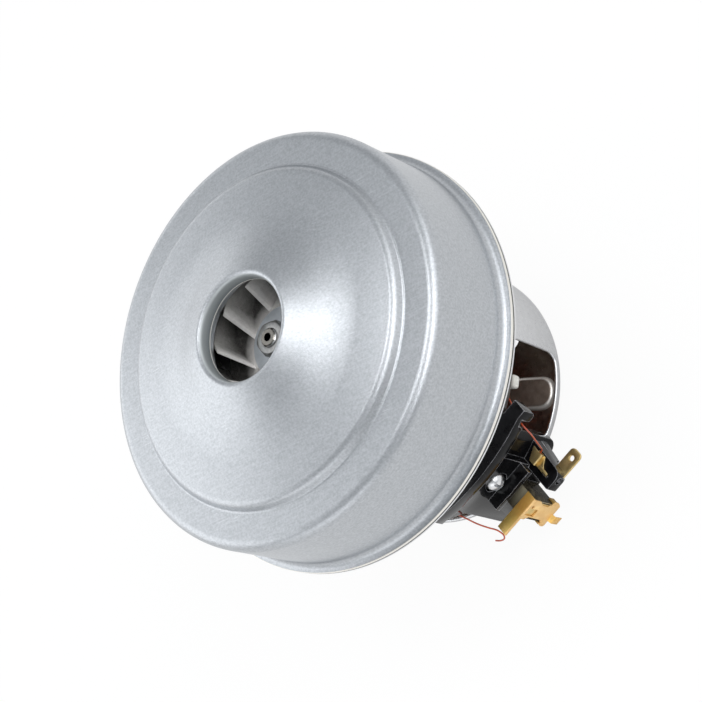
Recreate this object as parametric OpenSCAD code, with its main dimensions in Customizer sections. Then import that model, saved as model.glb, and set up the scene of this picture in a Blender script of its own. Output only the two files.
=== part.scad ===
// Vacuum motor unit: a universal motor in a windowed steel can, with a covered fan on top.
// The unit stands on its rear bearing boss. Z is the shaft axis and the air inlet points up.
// Everything with a brush stands along X: side a on +X, side b turned half a turn about Z.

/* [Fan cover] */
// Diameter over the rim where cover and can meet
rim_d = 135; // [132:0.5:150]
// Outer diameter of the cover's wall
cover_d = 129.2; // [126:0.2:131]
// Thickness of the cover's sheet
cover_sheet = 1; // [0.6:0.1:1.2]
// Height of the shoulder above the can's flange
cover_h = 33.3; // [32:0.1:44]
// Bend radius between wall and shoulder
shoulder_r = 3; // [1.5:0.5:5]
// Bend radius between rim and wall
rim_r = 2.6; // [1.5:0.1:2.8]
// Diameter at the foot of the step
step_d = 107.4; // [96:0.2:112]
// Rise of the step
step_h = 2.9; // [2.4:0.1:4]
// Radial run of the step
step_run = 2.5; // [2:0.1:4]
// Diameter where the crown turns up to the inlet
crown_d = 66; // [60:1:76]
// Rise of the crown between step and turn
crown_h = 2; // [1:0.1:3]
// Bend radius where the crown turns up
crown_r = 45; // [20:1:50]
// Rise from the turn to the sharp corner of the lip
lip_h = 6.4; // [5.5:0.1:8]
// Outer bend radius of the inlet lip
lip_r = 1.6; // [1.4:0.1:2]
// Bore of the inlet
inlet_d = 32; // [28:0.5:34]
// Depth of the neck below the lip's sharp corner
neck_h = 5.6; // [4.5:0.1:6]

/* [Motor can] */
// Outer diameter of the can
can_d = 87.4; // [86:0.2:92]
// Thickness of the can's sheet
can_sheet = 1.2; // [0.8:0.1:1.4]
// Height of the can from rear wall to flange
can_h = 66; // [65:0.5:72]
// Bend radius between rear wall and side
can_r = 4; // [2.5:0.5:5]
// Bend radius between side and flange
flange_r = 2; // [1:0.5:3]
// Height of the rear bearing boss
boss_h = 9; // [8.6:0.1:12]
// Bend radius at the boss's end
boss_r = 2; // [1.5:0.1:2.2]
// Angle from the brush axis to the middle of a window
window_angle = 40; // [40:1:46]
// Width of a window
window_w = 29.9; // [22:0.1:32]
// Height of a window
window_h = 29; // [20:0.5:40]
// Distance of a window from the rear wall's outside
window_z = 4.4; // [4:0.1:8]
// Corner radius of a window
window_r = 4; // [2:0.5:8]
// Diameter of the two vent holes in the rear wall
vent_d = 12; // [6:0.5:14]
// Distance of a vent hole from the shaft axis
vent_pos = 28; // [22:0.5:32]
// Length of a stiffening bead in the rear wall
bead_l = 16; // [10:0.5:16]
// Width of a stiffening bead
bead_w = 8.5; // [5:0.5:10]
// Distance of a bead's middle from the shaft axis
bead_pos = 32; // [27:0.5:32]
// Depth of a bead
bead_h = 0.7; // [0.4:0.1:0.9]

/* [Bearings and shaft] */
// Outer diameter of the bearings
bearing_d = 22; // [21:0.1:23]
// Bore of the bearings
bearing_bore = 8; // [7.5:0.1:8.4]
// Width of the bearings
bearing_w = 7; // [6.8:0.1:7.2]
// Ball diameter
ball_d = 3.96; // [3.5:0.02:4]
// Balls in a bearing
balls = 7; // [5:1:8]
// Thickness of a bearing's shields
shield_t = 0.3; // [0.2:0.1:0.4]
// Diameter of the shaft between the bearings
shaft_d = 10; // [9.4:0.1:10.4]
// Diameter of the shaft's thread
thread_d = 6; // [5:0.5:7]
// Shaft end above the nut
shaft_proud = 0.8; // [0.3:0.1:2]
// Thickness of the wave washer under the rear bearing
washer_t = 0.5; // [0.3:0.1:0.6]

/* [Bearing bracket] */
// Thickness of the bracket's plate
bracket_t = 1.5; // [1:0.1:2]
// Outer diameter of the bracket's ring
bracket_d = 112; // [110:1:118]
// Inner diameter of the bracket's ring
bracket_open_d = 93; // [88:1:95]
// Width of a bracket arm
arm_w = 12; // [8:0.5:16]
// Circle of the bracket's screws
bracket_pcd = 102; // [101:1:104]
// Thread of the bracket's screws
bracket_screw_d = 3.5; // [3:0.1:4]

/* [Stator and armature] */
// Height of the stack's rear face above the boss's end
stack_z = 38; // [37.5:0.5:40]
// Distance of the stack's front face below the can's flange
stack_drop = 17; // [16.6:0.1:21]
// Diameter of the armature
armature_d = 40; // [39:0.2:40.4]
// Air gap between armature and poles
air_gap = 0.6; // [0.4:0.1:0.9]
// Slots in the armature
slots = 12; // [10:1:14]
// Width of a pole's body
pole_w = 24; // [20:1:26]
// Half angle of a pole shoe
shoe_angle = 58; // [52:1:60]
// Radial thickness of a pole shoe
shoe_t = 5.6; // [5:0.1:6]
// Radial thickness of the yoke
yoke_t = 8; // [7:0.1:8.4]
// Outer half angle of a field coil
coil_angle = 47; // [46:1:49]
// Axial thickness of a field coil's end turns
coil_t = 7; // [5:0.5:7.2]
// Thickness of the coil insulators
insulator_t = 1.1; // [0.8:0.1:1.3]
// Diameter of the field wire
field_wire_d = 0.8; // [0.6:0.05:0.85]
// Loops in the outer layer of a field coil
field_loops = 5; // [3:1:6]

/* [Commutator and brushes] */
// Diameter of the commutator
commutator_d = 23; // [21:0.2:24]
// Length of the commutator
commutator_l = 15.5; // [15:0.1:16]
// Bars of the commutator
bars = 24; // [16:1:28]
// Height of the brush axis above the boss's end
brush_z = 18; // [17.8:0.1:18.4]
// Width of a brush across the shaft
brush_w = 6.4; // [5:0.1:7]
// Width of a brush along the shaft
brush_h = 10.8; // [9:0.1:11]
// Length of a new brush
brush_l = 26; // [20:0.5:28]
// Wall of the brush tube
tube_wall = 0.6; // [0.4:0.1:0.7]
// Distance of the tube's outer end from the shaft axis
tube_end = 58.5; // [57:0.1:60]
// Wire of the brush spring
spring_wire_d = 0.7; // [0.5:0.05:0.8]
// Outer diameter of the brush spring
spring_d = 6; // [5:0.1:6.2]
// Curls of the brush spring
spring_curls = 9; // [6:1:12]

/* [Brush holder] */
// Outer face of the holder's body from the shaft axis
base_x = 48; // [47.4:0.1:49]
// Half width of the holder's body
base_w = 13.9; // [12:0.1:15]
// Height of the body's rear edge above the boss's end
base_z = 10.8; // [10.5:0.1:11.4]
// Height where the body begins to flare
flare_z = 34; // [33:0.5:36]
// Upper face of the front bar
bar_top = 45.5; // [44:0.5:50]
// Thickness of the front bar
bar_t = 4.5; // [3:0.1:6]
// Outer edge of the front bar at its middle
bar_x = 51; // [50:0.1:53]
// Radius of the front bar's bowed edge
bar_bow = 85; // [70:1:120]
// Reach of the front bar on the terminal side
bar_reach = 27; // [25:0.5:30]
// Reach of the front bar on the arm's side
bar_tail = 19.5; // [17:0.5:24]
// Thickness of the skirt that hugs the can
skirt_t = 2; // [1.5:0.1:2.5]
// Reach of the skirt on the terminal side
skirt_w = 17.6; // [16.5:0.1:19]
// Width of the wire hook at the bar's end
hook_w = 3.4; // [2.5:0.1:4]
// Height of the wire hook
hook_h = 6.2; // [5:0.1:8]
// Width of the wire notch beside the hook
notch_w = 2.2; // [1.5:0.1:3]
// Reach of the terminal block along the bar
block_w = 16.4; // [16:0.1:17.4]
// Outer end of the terminal block from the shaft axis
block_x = 58.7; // [58:0.1:61]
// Upper face of the terminal block
block_top = 23; // [22.5:0.1:24]
// Thickness of the terminal block
block_t = 4.6; // [4:0.1:6]
// Height of the screw above the boss's end
screw_z = 31.5; // [31:0.1:32]
// Diameter of the screw's head
screw_head_d = 6.8; // [5.5:0.1:7]
// Diameter of the screw's thread
screw_d = 2.9; // [2.5:0.1:3.2]
// Width of the terminal tab
tab_w = 4.8; // [4:0.1:5.2]
// Thickness of the terminal tab
tab_t = 0.8; // [0.5:0.1:1]
// Free length of the terminal tab
tab_l = 7; // [5:0.1:8]
// Strip thickness of the brush cap
cap_t = 0.5; // [0.4:0.1:0.6]
// Length of the brush cap's arm beyond the tube
arm_l = 7; // [5:0.1:9]
// Diameter of the lead wires
lead_d = 0.65; // [0.5:0.05:0.9]

/* [Fan] */
// Diameter of the impeller
impeller_d = 100; // [96:0.5:101]
// Height of the impeller's back plate above the can's flange
impeller_z = 19.5; // [19:0.1:21]
// Sheet of the impeller's plates and blades
impeller_t = 1; // [0.6:0.1:1.2]
// Width of the impeller's outlet
outlet_h = 9; // [7:0.5:10]
// Blades of the impeller
blades = 9; // [7:1:11]
// Diameter of the inducer where the blades begin
inducer_d = 52; // [48:1:56]
// Height of the inducer's hub
hub_h = 3.2; // [2.5:0.1:3.5]
// Diameter of the clamp washer
clamp_d = 23; // [18:0.5:25]
// Thickness of the clamp washer
clamp_t = 1; // [0.6:0.1:1.5]
// Width of the impeller nut across its flats
nut_w = 10; // [9:0.5:11]
// Height of the impeller nut
nut_h = 5.8; // [4:0.1:6]
// Guide vanes of the diffuser
guide_vanes = 15; // [11:1:19]
// Return vanes of the diffuser
return_vanes = 9; // [7:1:13]
// Thickness of the diffuser's plate and vanes
diffuser_t = 2.4; // [1.5:0.1:2.6]

/* [Fits] */
// Radial clearance of pressed pieces
press_gap = 0.03; // [0.02:0.01:0.05]
// Clearance of a brush in its tube, and on the commutator
slide_gap = 0.08; // [0.05:0.01:0.1]
// Clearance of a ball in its grooves
ball_gap = 0.06; // [0.04:0.01:0.1]
// Clearance between seated pieces
seat_gap = 0.1; // [0.05:0.05:0.2]
// Running gap round turning pieces
run_gap = 1; // [0.8:0.1:1.2]

/* [Hidden] */
$fn = 64;
far = 200;
spare = 12;

// Heights along the shaft axis
rear_z = boss_h;
flange_z = boss_h + can_h;
shoulder_z = flange_z + cover_h;
crown_z = shoulder_z + step_h;
turn_z = crown_z + crown_h;
lip_z = turn_z + lip_h;
neck_z = lip_z - neck_h;
bracket_z = flange_z + bracket_t;
cup_rim = 0.5;
front_bearing_z = bracket_z - cup_rim - bearing_w;
washer_play = 0.3;
rear_bearing_z = can_sheet + washer_t + washer_play;
shaft_inset = 0.2;
shaft_z = rear_bearing_z + shaft_inset;
stack_top = flange_z - stack_drop;
stack_h = stack_top - stack_z;
plate_z = flange_z + impeller_z;
hub_z = plate_z + impeller_t;
hub_top = hub_z + hub_h;
nut_z = hub_top + clamp_t;
shaft_top = nut_z + nut_h + shaft_proud;

// Radii
rim_rad = rim_d / 2;
cover_rad = cover_d / 2;
can_rad = can_d / 2;
can_in = can_rad - can_sheet;
bearing_rad = bearing_d / 2;
boss_rad = bearing_rad + press_gap + can_sheet;
inlet_rad = inlet_d / 2;
bore_rad = armature_d / 2 + air_gap;
shoe_rad = bore_rad + shoe_t;
stack_rad = can_in - press_gap;
yoke_in = stack_rad - yoke_t;
impeller_rad = impeller_d / 2;
seat_rad = bearing_bore / 2;

// Points of a round corner b between a and c
function unit(v) = v / norm(v);
function bend(a, b, c, r, n = 6) =
    let (
        u = unit(a - b),
        v = unit(c - b),
        half = acos(u * v) / 2,
        m = b + unit(u + v) * r / sin(half),
        s = b + u * r / tan(half) - m,
        e = b + v * r / tan(half) - m,
        a0 = atan2(s.y, s.x),
        turn = atan2(e.y, e.x) - a0,
        sweep = turn > 180 ? turn - 360 : turn < -180 ? turn + 360 : turn
    )
    [for (i = [0 : n]) m + r * [cos(a0 + sweep * i / n), sin(a0 + sweep * i / n)]];

// Open path [x, y, corner radius] with its corners rounded
function rounded(path) =
    let (last = len(path) - 1)
    [
        for (i = [0 : last])
            let (p = [path[i].x, path[i].y])
            each (i == 0 || i == last || path[i][2] == 0) ? [p]
                : bend([path[i - 1].x, path[i - 1].y], p, [path[i + 1].x, path[i + 1].y], path[i][2])
    ];

// The same path moved sideways by t
function beside(path, t) =
    let (last = len(path) - 1)
    [
        for (i = [0 : last])
            let (
                d0 = unit(path[max(i, 1)] - path[max(i, 1) - 1]),
                d1 = unit(path[min(i + 1, last)] - path[min(i + 1, last) - 1]),
                side = unit([-d0.y - d1.y, d0.x + d1.x])
            )
            path[i] + side * t / (side * [-d0.y, d0.x])
    ];

// Closed outline of a sheet that follows a path
function sheet(path, t) =
    let (back = beside(path, t), last = len(path) - 1)
    concat(path, [for (i = [last : -1 : 0]) back[i]]);

module revolve(path, t) {
    rotate_extrude($fn = 128)
        polygon(sheet(rounded(path), t));
}

module ring(r_in, r_out, h) {
    difference() {
        cylinder(r = r_out, h = h);
        translate([0, 0, -1])
            cylinder(r = r_in, h = h + 2);
    }
}

module around(count, start = 0) {
    for (i = [0 : count - 1])
        rotate(start + i * 360 / count)
            children();
}

module both_sides(side) {
    rotate(side == "b" ? 180 : 0)
        children();
}

// Flat sector between two radii and two angles
module sector(r_in, r_out, a0, a1) {
    n = 12;
    difference() {
        circle(r = r_out, $fn = 128);
        circle(r = r_in, $fn = 128);
        polygon(concat([[0, 0]], [for (i = [0 : n]) far * [
            cos(a1 + (a0 + 360 - a1) * i / n),
            sin(a1 + (a0 + 360 - a1) * i / n)
        ]]));
    }
}

module rounded_rect(w, h, r) {
    square([w - 2 * r, h], center = true);
    square([w, h - 2 * r], center = true);
    for (x = [-1, 1], y = [-1, 1])
        translate([x * (w / 2 - r), y * (h / 2 - r)])
            circle(r = r);
}

module slot_shape(l, w) {
    square([l - w, w], center = true);
    for (x = [-1, 1])
        translate([x * (l - w) / 2, 0])
            circle(d = w);
}

// A flat shape in the Y Z plane, extruded along X from x
module outward(x, l) {
    translate([x, 0, 0])
        rotate([90, 0, 90])
            linear_extrude(l)
                children();
}

// One tube along a list of points
function tube_points(path, r, sides) =
    let (last = len(path) - 1)
    [
        for (i = [0 : last])
            let (
                d = unit(path[min(i + 1, last)] - path[max(i - 1, 0)]),
                up = abs(d.z) < 0.9 ? [0, 0, 1] : [1, 0, 0],
                u = unit(cross(d, up)),
                v = cross(d, u)
            )
            for (k = [0 : sides - 1])
                path[i] + r * (cos(360 * k / sides) * u + sin(360 * k / sides) * v)
    ];

module tube(path, d, sides) {
    rings = len(path);
    skin = [
        for (i = [0 : rings - 2], k = [0 : sides - 1])
            let (a = i * sides + k, b = i * sides + (k + 1) % sides)
            each [[a, a + sides, b], [b, a + sides, b + sides]]
    ];
    foot = [for (k = [1 : sides - 2]) [0, k, k + 1]];
    top = (rings - 1) * sides;
    head = [for (k = [1 : sides - 2]) [top, top + k + 1, top + k]];
    polyhedron(tube_points(path, d / 2, sides), concat(skin, foot, head));
}

// Least distance between stretches of a path that lie more than skip points apart
function least_gap(path, skip, d) =
    min([
        for (i = [0 : len(path) - 1], j = [i + skip : len(path) - 1])
            if (j < len(path))
                norm(path[i] - path[j])
    ]) - d;

// Drawn steel cover over the fan
module fan_cover() {
    color("silver")
        revolve([
            [rim_rad, flange_z + cover_sheet, 0],
            [cover_rad, flange_z + cover_sheet, min(rim_r, (rim_rad - cover_rad) * 0.9)],
            [cover_rad, shoulder_z, shoulder_r],
            [step_d / 2, shoulder_z, step_run * 1.25],
            [step_d / 2 - step_run, crown_z, step_run * 1.25],
            [crown_d / 2, turn_z, crown_r],
            [inlet_rad, lip_z, lip_r],
            [inlet_rad, neck_z, 0]
        ], cover_sheet);
}

// Drawn steel can with its flange, windows, vents and stiffening beads
sleeve_gap = 0.3;
tube_w = brush_w + 2 * (slide_gap + tube_wall);
tube_h = brush_h + 2 * (slide_gap + tube_wall);
sleeve_t = 1;
sleeve_w = tube_w + 2 * sleeve_t;
sleeve_h = tube_h + 2 * sleeve_t;
bracket_hole_d = bracket_screw_d + 2 * press_gap;
module motor_can() {
    color("gainsboro")
        difference() {
            union() {
                revolve([
                    [0, 0, 0],
                    [boss_rad, 0, boss_r],
                    [boss_rad, rear_z, boss_r],
                    [can_rad, rear_z, can_r],
                    [can_rad, flange_z - can_sheet, flange_r],
                    [rim_rad, flange_z - can_sheet, 0]
                ], can_sheet);
                beads(rear_z + can_sheet / 2, can_sheet / 2 + bead_h, 0);
            }
            beads(rear_z - 1, 1 + bead_h, can_sheet);
            for (a = [window_angle, -window_angle, 180 - window_angle, 180 + window_angle])
                rotate(a)
                    outward(can_rad - spare, 2 * spare)
                        translate([0, rear_z + window_z + window_h / 2])
                            rounded_rect(window_w, window_h, window_r);
            around(2, 90)
                translate([vent_pos, 0, 0])
                    cylinder(d = vent_d, h = rear_z + spare);
            around(2)
                brush_passage();
            around(4, 45)
                translate([bracket_pcd / 2, 0, flange_z - spare])
                    cylinder(d = bracket_hole_d, h = 2 * spare);
        }
}

// Oval beads of the rear wall, narrowed by inset
module beads(z, h, inset) {
    around(2, 45)
        mirrored_bead(z, h, inset);
    around(2, -45)
        mirrored_bead(z, h, inset);
}

module mirrored_bead(z, h, inset) {
    translate([bead_pos, 0, z])
        linear_extrude(h)
            slot_shape(bead_l - 2 * inset, bead_w - 2 * inset);
}

// Where the holder's sleeve and screw pass through the can
module brush_passage() {
    outward(can_rad - spare, 2 * spare) {
        translate([0, brush_z])
            square([sleeve_w + 2 * sleeve_gap, sleeve_h + 2 * sleeve_gap], center = true);
        translate([0, screw_z])
            circle(d = screw_d + 2 * press_gap);
    }
}

// Pressed bracket with the front bearing's cup
cup_t = 1.5;
cup_lip = 3;
module front_bracket() {
    color("lightsteelblue")
        difference() {
            union() {
                translate([0, 0, flange_z])
                    ring(bracket_open_d / 2, bracket_d / 2, bracket_t);
                translate([0, 0, flange_z])
                    linear_extrude(bracket_t)
                        around(4, 45)
                            translate([0, -arm_w / 2])
                                square([bracket_open_d / 2 + bracket_t, arm_w]);
                translate([0, 0, front_bearing_z - cup_t])
                    cylinder(r = bearing_rad + press_gap + cup_t, h = bracket_z - front_bearing_z + cup_t);
            }
            translate([0, 0, front_bearing_z])
                cylinder(r = bearing_rad + press_gap, h = far);
            translate([0, 0, front_bearing_z - spare])
                cylinder(r = bearing_rad - cup_lip, h = far);
            around(4, 45)
                translate([bracket_pcd / 2, 0, flange_z - spare])
                    cylinder(d = bracket_hole_d, h = 2 * spare);
        }
}

bracket_head_d = bracket_screw_d * 1.9;
bracket_head_t = 2.2;
bracket_tip = 1.5;
module bracket_screws() {
    color("dimgray")
        around(4, 45)
            translate([bracket_pcd / 2, 0, bracket_z])
                difference() {
                    union() {
                        translate([0, 0, -bracket_t - can_sheet - bracket_tip])
                            cylinder(d = bracket_screw_d, h = bracket_t + can_sheet + bracket_tip + bracket_head_t / 2);
                        cylinder(d = bracket_head_d, h = bracket_head_t);
                    }
                    translate([0, 0, bracket_head_t / 2])
                        cross_recess(bracket_screw_d, bracket_head_t);
                }
}

// Cross recess of a screw head
module cross_recess(l, h) {
    for (a = [0, 90])
        rotate(a)
            translate([-l / 2, -l * 0.13, 0])
                cube([l, l * 0.26, h]);
}

// Curved vane seen from above, swept by an angle between two radii
module vane_shape(r0, r1, sweep, t) {
    n = 10;
    mid = [for (i = [0 : n]) let (r = r0 + (r1 - r0) * i / n, a = sweep * i / n) r * [cos(a), sin(a)]];
    polygon(sheet(beside(mid, -t / 2), t));
}

// Moulded diffuser: guide vanes round the impeller and return vanes under the plate
guide_gap = 2;
guide_sweep = -38;
return_sweep = -50;
module diffuser() {
    plate_top = plate_z - run_gap;
    guide_in = impeller_rad + guide_gap;
    guide_out = cover_rad - cover_sheet - seat_gap - 1.1 * diffuser_t;
    plate_rad = guide_out - 2 * diffuser_t;
    guide_top = shoulder_z - cover_sheet - 1.4 * diffuser_t;
    return_in = bracket_open_d / 2 - 1.5 * arm_w;
    join = diffuser_t / 20;
    color("darkslategray") {
        difference() {
            union() {
                translate([0, 0, plate_top - diffuser_t])
                    ring(bearing_rad - bracket_t, plate_rad, diffuser_t);
                translate([0, 0, plate_top - join])
                    linear_extrude(guide_top - plate_top + join)
                        around(guide_vanes)
                            vane_shape(guide_in, guide_out, guide_sweep, diffuser_t * 0.7);
                translate([0, 0, bracket_z])
                    linear_extrude(plate_top - diffuser_t - bracket_z + join)
                        around(return_vanes, 5)
                            vane_shape(return_in, plate_rad - join, return_sweep, diffuser_t);
            }
            around(4, 45)
                translate([bracket_pcd / 2, 0, 0])
                    cylinder(d = bracket_head_d + run_gap, h = bracket_z + bracket_head_t + run_gap);
        }
    }
}

// Lamination stack with two poles on the Y axis and flats beside the brushes
stack_flat = 2;
module stator_core() {
    color("slategray")
        translate([0, 0, stack_z])
            linear_extrude(stack_h)
                difference() {
                    intersection() {
                        circle(r = stack_rad, $fn = 128);
                        square([2 * (stack_rad - stack_flat), far], center = true);
                    }
                    difference() {
                        circle(r = yoke_in, $fn = 128);
                        for (a = [90, 270])
                            rotate(a) {
                                translate([0, -pole_w / 2])
                                    square([yoke_in + 1, pole_w]);
                                sector(bore_rad - 1, shoe_rad, -shoe_angle, shoe_angle);
                            }
                    }
                    circle(r = bore_rad, $fn = 128);
                }
}

// One field coil: a frame of turns bent round the armature
coil_gap = 0.3;
coil_in = shoe_rad + coil_gap;
wire_lift = 0.45;
coil_out = yoke_in - coil_gap - wire_lift - field_wire_d;
coil_core_angle = asin((pole_w / 2 + coil_gap) / coil_in);
coil_rear = stack_z - coil_t - coil_gap;
coil_front = stack_top + coil_t + coil_gap;
module field_coil(turn) {
    color("saddlebrown")
        rotate(turn)
            difference() {
                translate([0, 0, coil_rear])
                    linear_extrude(coil_front - coil_rear)
                        sector(coil_in, coil_out, -coil_angle, coil_angle);
                translate([0, 0, stack_z - coil_gap])
                    linear_extrude(stack_h + 2 * coil_gap)
                        sector(coil_in - 1, coil_out + 1, -coil_core_angle, coil_core_angle);
            }
}

// Outer layer of a field coil: one wire that spirals inwards over the coil's outer face
wire_rad = coil_out + wire_lift + field_wire_d / 2;
wire_pitch = field_wire_d + 0.5;
loop_steps = 32;
function swing(t) = max(-1, min(1, 1.9 * (1 - 4 * abs(t - floor(t) - 0.5))));
function frame_point(t) =
    let (
        inset = field_wire_d / 2 + wire_pitch * t,
        half_w = wire_rad * coil_angle * PI / 180 - inset,
        half_h = (coil_front - coil_rear) / 2 - inset,
        turn = half_w * swing(t) / wire_rad * 180 / PI
    )
    [wire_rad * cos(turn), wire_rad * sin(turn), (coil_front + coil_rear) / 2 + half_h * swing(t + 0.25)];
field_path = [for (i = [0 : loop_steps * field_loops]) frame_point((i + 0.5) / loop_steps)];
echo(field_wire_least_gap = least_gap(field_path, loop_steps / 2, field_wire_d));

module field_winding(turn) {
    color("chocolate")
        rotate(turn)
            tube(field_path, field_wire_d, 6);
}

// White end pieces that keep a field coil off the stack
module coil_insulator(turn) {
    wall_in = shoe_rad - insulator_t - seat_gap;
    lip_out = wire_rad + field_wire_d / 2 + insulator_t;
    reach = coil_angle + 3;
    color("ivory")
        rotate(turn)
            for (top = [0, 1])
                translate([0, 0, top ? stack_top : stack_z])
                    mirror([0, 0, 1 - top]) {
                        linear_extrude(coil_t + 2 * coil_gap + insulator_t)
                            sector(wall_in, wall_in + insulator_t, -reach, reach);
                        translate([0, 0, coil_t + 2 * coil_gap])
                            linear_extrude(insulator_t)
                                sector(wall_in, lip_out, -reach, reach);
                    }
}

// Moulded holder of one brush, seated on the can's side
seat_in = can_rad + seat_gap;
sleeve_in = 24;
body_side = 9.5;
body_r = 3;
bar_z = bar_top - bar_t;
block_side = 8.5;
block_z = block_top - block_t;
block_r = 3;
gusset_t = 3;
tongue_z = 26.2;
tongue_t = 1.8;
tongue_l = 4.5;
tongue_left = 7.2;
tongue_right = 9.3;
head_t = 3;
screw_seat = base_x - 2;
module brush_holder() {
    color("#1c1c1e")
        difference() {
            union() {
                difference() {
                    union() {
                        holder_body();
                        skirt();
                        front_bar();
                        terminal_block();
                        translate([base_x - spare, -tongue_left, tongue_z])
                            cube([tongue_l + spare, tongue_left + tongue_right, tongue_t]);
                    }
                    cylinder(r = seat_in, h = far);
                }
                outward(sleeve_in, base_x - sleeve_in)
                    translate([0, brush_z])
                        square([sleeve_w, sleeve_h], center = true);
            }
            outward(0, far)
                translate([0, brush_z])
                    square([tube_w + 2 * press_gap, tube_h + 2 * press_gap], center = true);
            screw_passage();
            terminal_slots();
        }
}

// Body behind the tube, flared towards the bar
module holder_body() {
    outward(can_rad - spare, base_x - can_rad + spare)
        polygon(rounded([
            [0, base_z, 0],
            [-base_w, base_z, body_r],
            [-base_w, flare_z, body_r],
            [-bar_tail, bar_z, 0],
            [body_side, bar_z, 0],
            [body_side, base_z, body_r / 2],
            [0, base_z, 0]
        ]));
}

// Thin skirt on the terminal side
module skirt() {
    intersection() {
        cylinder(r = seat_in + skirt_t, h = far);
        outward(can_rad - spare, far)
            polygon(rounded([
                [0, base_z, 0],
                [skirt_w, base_z, body_r],
                [skirt_w, bar_top, 0],
                [0, bar_top, 0]
            ]));
    }
}

// Bowed bar across the front. Its free end is a finger with a hook that holds the lead
hook_x = bar_x - 3.4;
finger_w = 5.2;
hook_r = 1.6;
module front_bar() {
    root = bar_reach - hook_w - notch_w;
    difference() {
        union() {
            translate([0, 0, bar_z])
                linear_extrude(bar_t)
                    intersection() {
                        translate([bar_x - bar_bow, 0])
                            circle(r = bar_bow, $fn = 256);
                        translate([can_rad - 2 * spare, -bar_tail])
                            square([far, bar_tail + bar_reach]);
                    }
            outward(hook_x - finger_w, finger_w)
                polygon(rounded([
                    [bar_reach - hook_w, bar_top, 0],
                    [bar_reach - hook_w, bar_top - hook_h, hook_r / 2],
                    [bar_reach, bar_top - hook_h, hook_r],
                    [bar_reach, bar_top, 0]
                ]));
        }
        translate([0, root, bar_z - spare])
            cube([hook_x - finger_w, far, 3 * spare]);
        translate([0, root, bar_z - spare])
            cube([far, notch_w, spare + bar_t / 2]);
    }
}

// Block beside the tube that carries the terminal, on its gusset
module terminal_block() {
    eye_d = 2.4;
    difference() {
        union() {
            translate([0, 0, block_z])
                linear_extrude(block_t)
                    polygon(rounded([
                        [can_rad - spare, block_side, 0],
                        [block_x, block_side, block_r / 5],
                        [block_x, block_w - 1, block_r],
                        [can_rad - spare, block_w, 0]
                    ]));
            translate([0, 0, block_z - gusset_t])
                linear_extrude(gusset_t)
                    polygon([
                        [can_rad - spare, block_side],
                        [base_x + gusset_t, block_side],
                        [base_x + gusset_t, block_w - 1],
                        [can_rad - spare, skirt_w]
                    ]);
        }
        outward(block_x - block_r, spare)
            translate([(block_side + block_w) / 2, block_z + block_t / 2])
                circle(d = eye_d);
    }
}

// Seat and hole of the holder's screw
module screw_passage() {
    translate([0, 0, screw_z])
        rotate([0, 90, 0]) {
            translate([0, 0, screw_seat])
                cylinder(d = screw_head_d + run_gap, h = spare);
            translate([0, 0, can_rad - spare])
                cylinder(d = screw_d + 4 * seat_gap, h = 2 * spare);
        }
}

// Slots that take the terminal from below
strip_t = 0.5;
strip_w = 1.2;
strip_y = block_side + 2.6;
tab_x = block_x - tab_w / 2 - strip_t;
tab_z = block_z + tab_t / 2 + 2 * seat_gap;
riser_w = 2;
riser_x = tab_x - tab_w / 2;
module terminal_slots() {
    translate([tab_x - tab_w / 2 - seat_gap, strip_y - seat_gap, block_z - spare])
        cube([tab_w + 2 * seat_gap, far, tab_z + tab_t / 2 + seat_gap - block_z + spare]);
    translate([riser_x - seat_gap, strip_y - seat_gap, block_z])
        cube([riser_w + 2 * seat_gap, strip_t + 2 * seat_gap, block_t + spare]);
}

// Rectangular brass tube that guides the brush
tube_in = commutator_d / 2 + 2;
module brush_tube() {
    color("#8a8062")
        translate([tube_in, 0, brush_z])
            difference() {
                translate([0, -tube_w / 2, -tube_h / 2])
                    cube([tube_end - tube_in, tube_w, tube_h]);
                translate([-1, -brush_w / 2 - slide_gap, -brush_h / 2 - slide_gap])
                    cube([far, brush_w + 2 * slide_gap, brush_h + 2 * slide_gap]);
            }
}

// Cap that closes the tube: a waisted plate with horns and a lug, and the arm that takes the field wire
cap_x = tube_end + seat_gap;
cap_arm_w = 3.8;
module brush_cap() {
    w = tube_w / 2 + seat_gap;
    h = tube_h / 2 + seat_gap;
    waist = w - 1.3;
    horn = w + 1;
    eye_d = 1.2;
    foot = h + 1.6;
    lug_l = 4.6;
    lug_in = 0.6;
    lug_w = 1.8;
    color("#c08a4a")
        translate([0, 0, brush_z]) {
            outward(cap_x, cap_t)
                difference() {
                    polygon(rounded([
                        [0, h + cap_t, 0],
                        [w, h + cap_t, 0],
                        [w, h - 3, 0],
                        [waist, h - 5, 1.5],
                        [waist, -2.6, 1.5],
                        [horn, -4.4, 0.5],
                        [horn, -6, 0.5],
                        [w, -foot, 0.8],
                        [-lug_in, -foot, 0],
                        [-lug_in, -foot - lug_l, 0.4],
                        [-lug_in - lug_w, -foot - lug_l, 0.4],
                        [-lug_in - lug_w, -foot, 0],
                        [-horn, -foot, 0.8],
                        [-horn, -h + 0.4, 0.5],
                        [-waist, -3.6, 1.5],
                        [-waist, h - 3, 1.5],
                        [-w, h - 1.5, 0],
                        [-w, h + cap_t, 0],
                        [0, h + cap_t, 0]
                    ]));
                    translate([eye_d, h - eye_d])
                        circle(d = eye_d);
                }
            translate([cap_x - cap_arm_w, -w - cap_t - arm_l, h])
                cube([cap_arm_w + cap_t, 2 * w + cap_t + arm_l, cap_t]);
            for (s = [-1, 1])
                translate([cap_x - cap_grip, s > 0 ? w : -w - cap_t, -h - cap_t])
                    cube([cap_grip + cap_t, cap_t, cap_grip]);
        }
}
cap_grip = 2.6;

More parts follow.
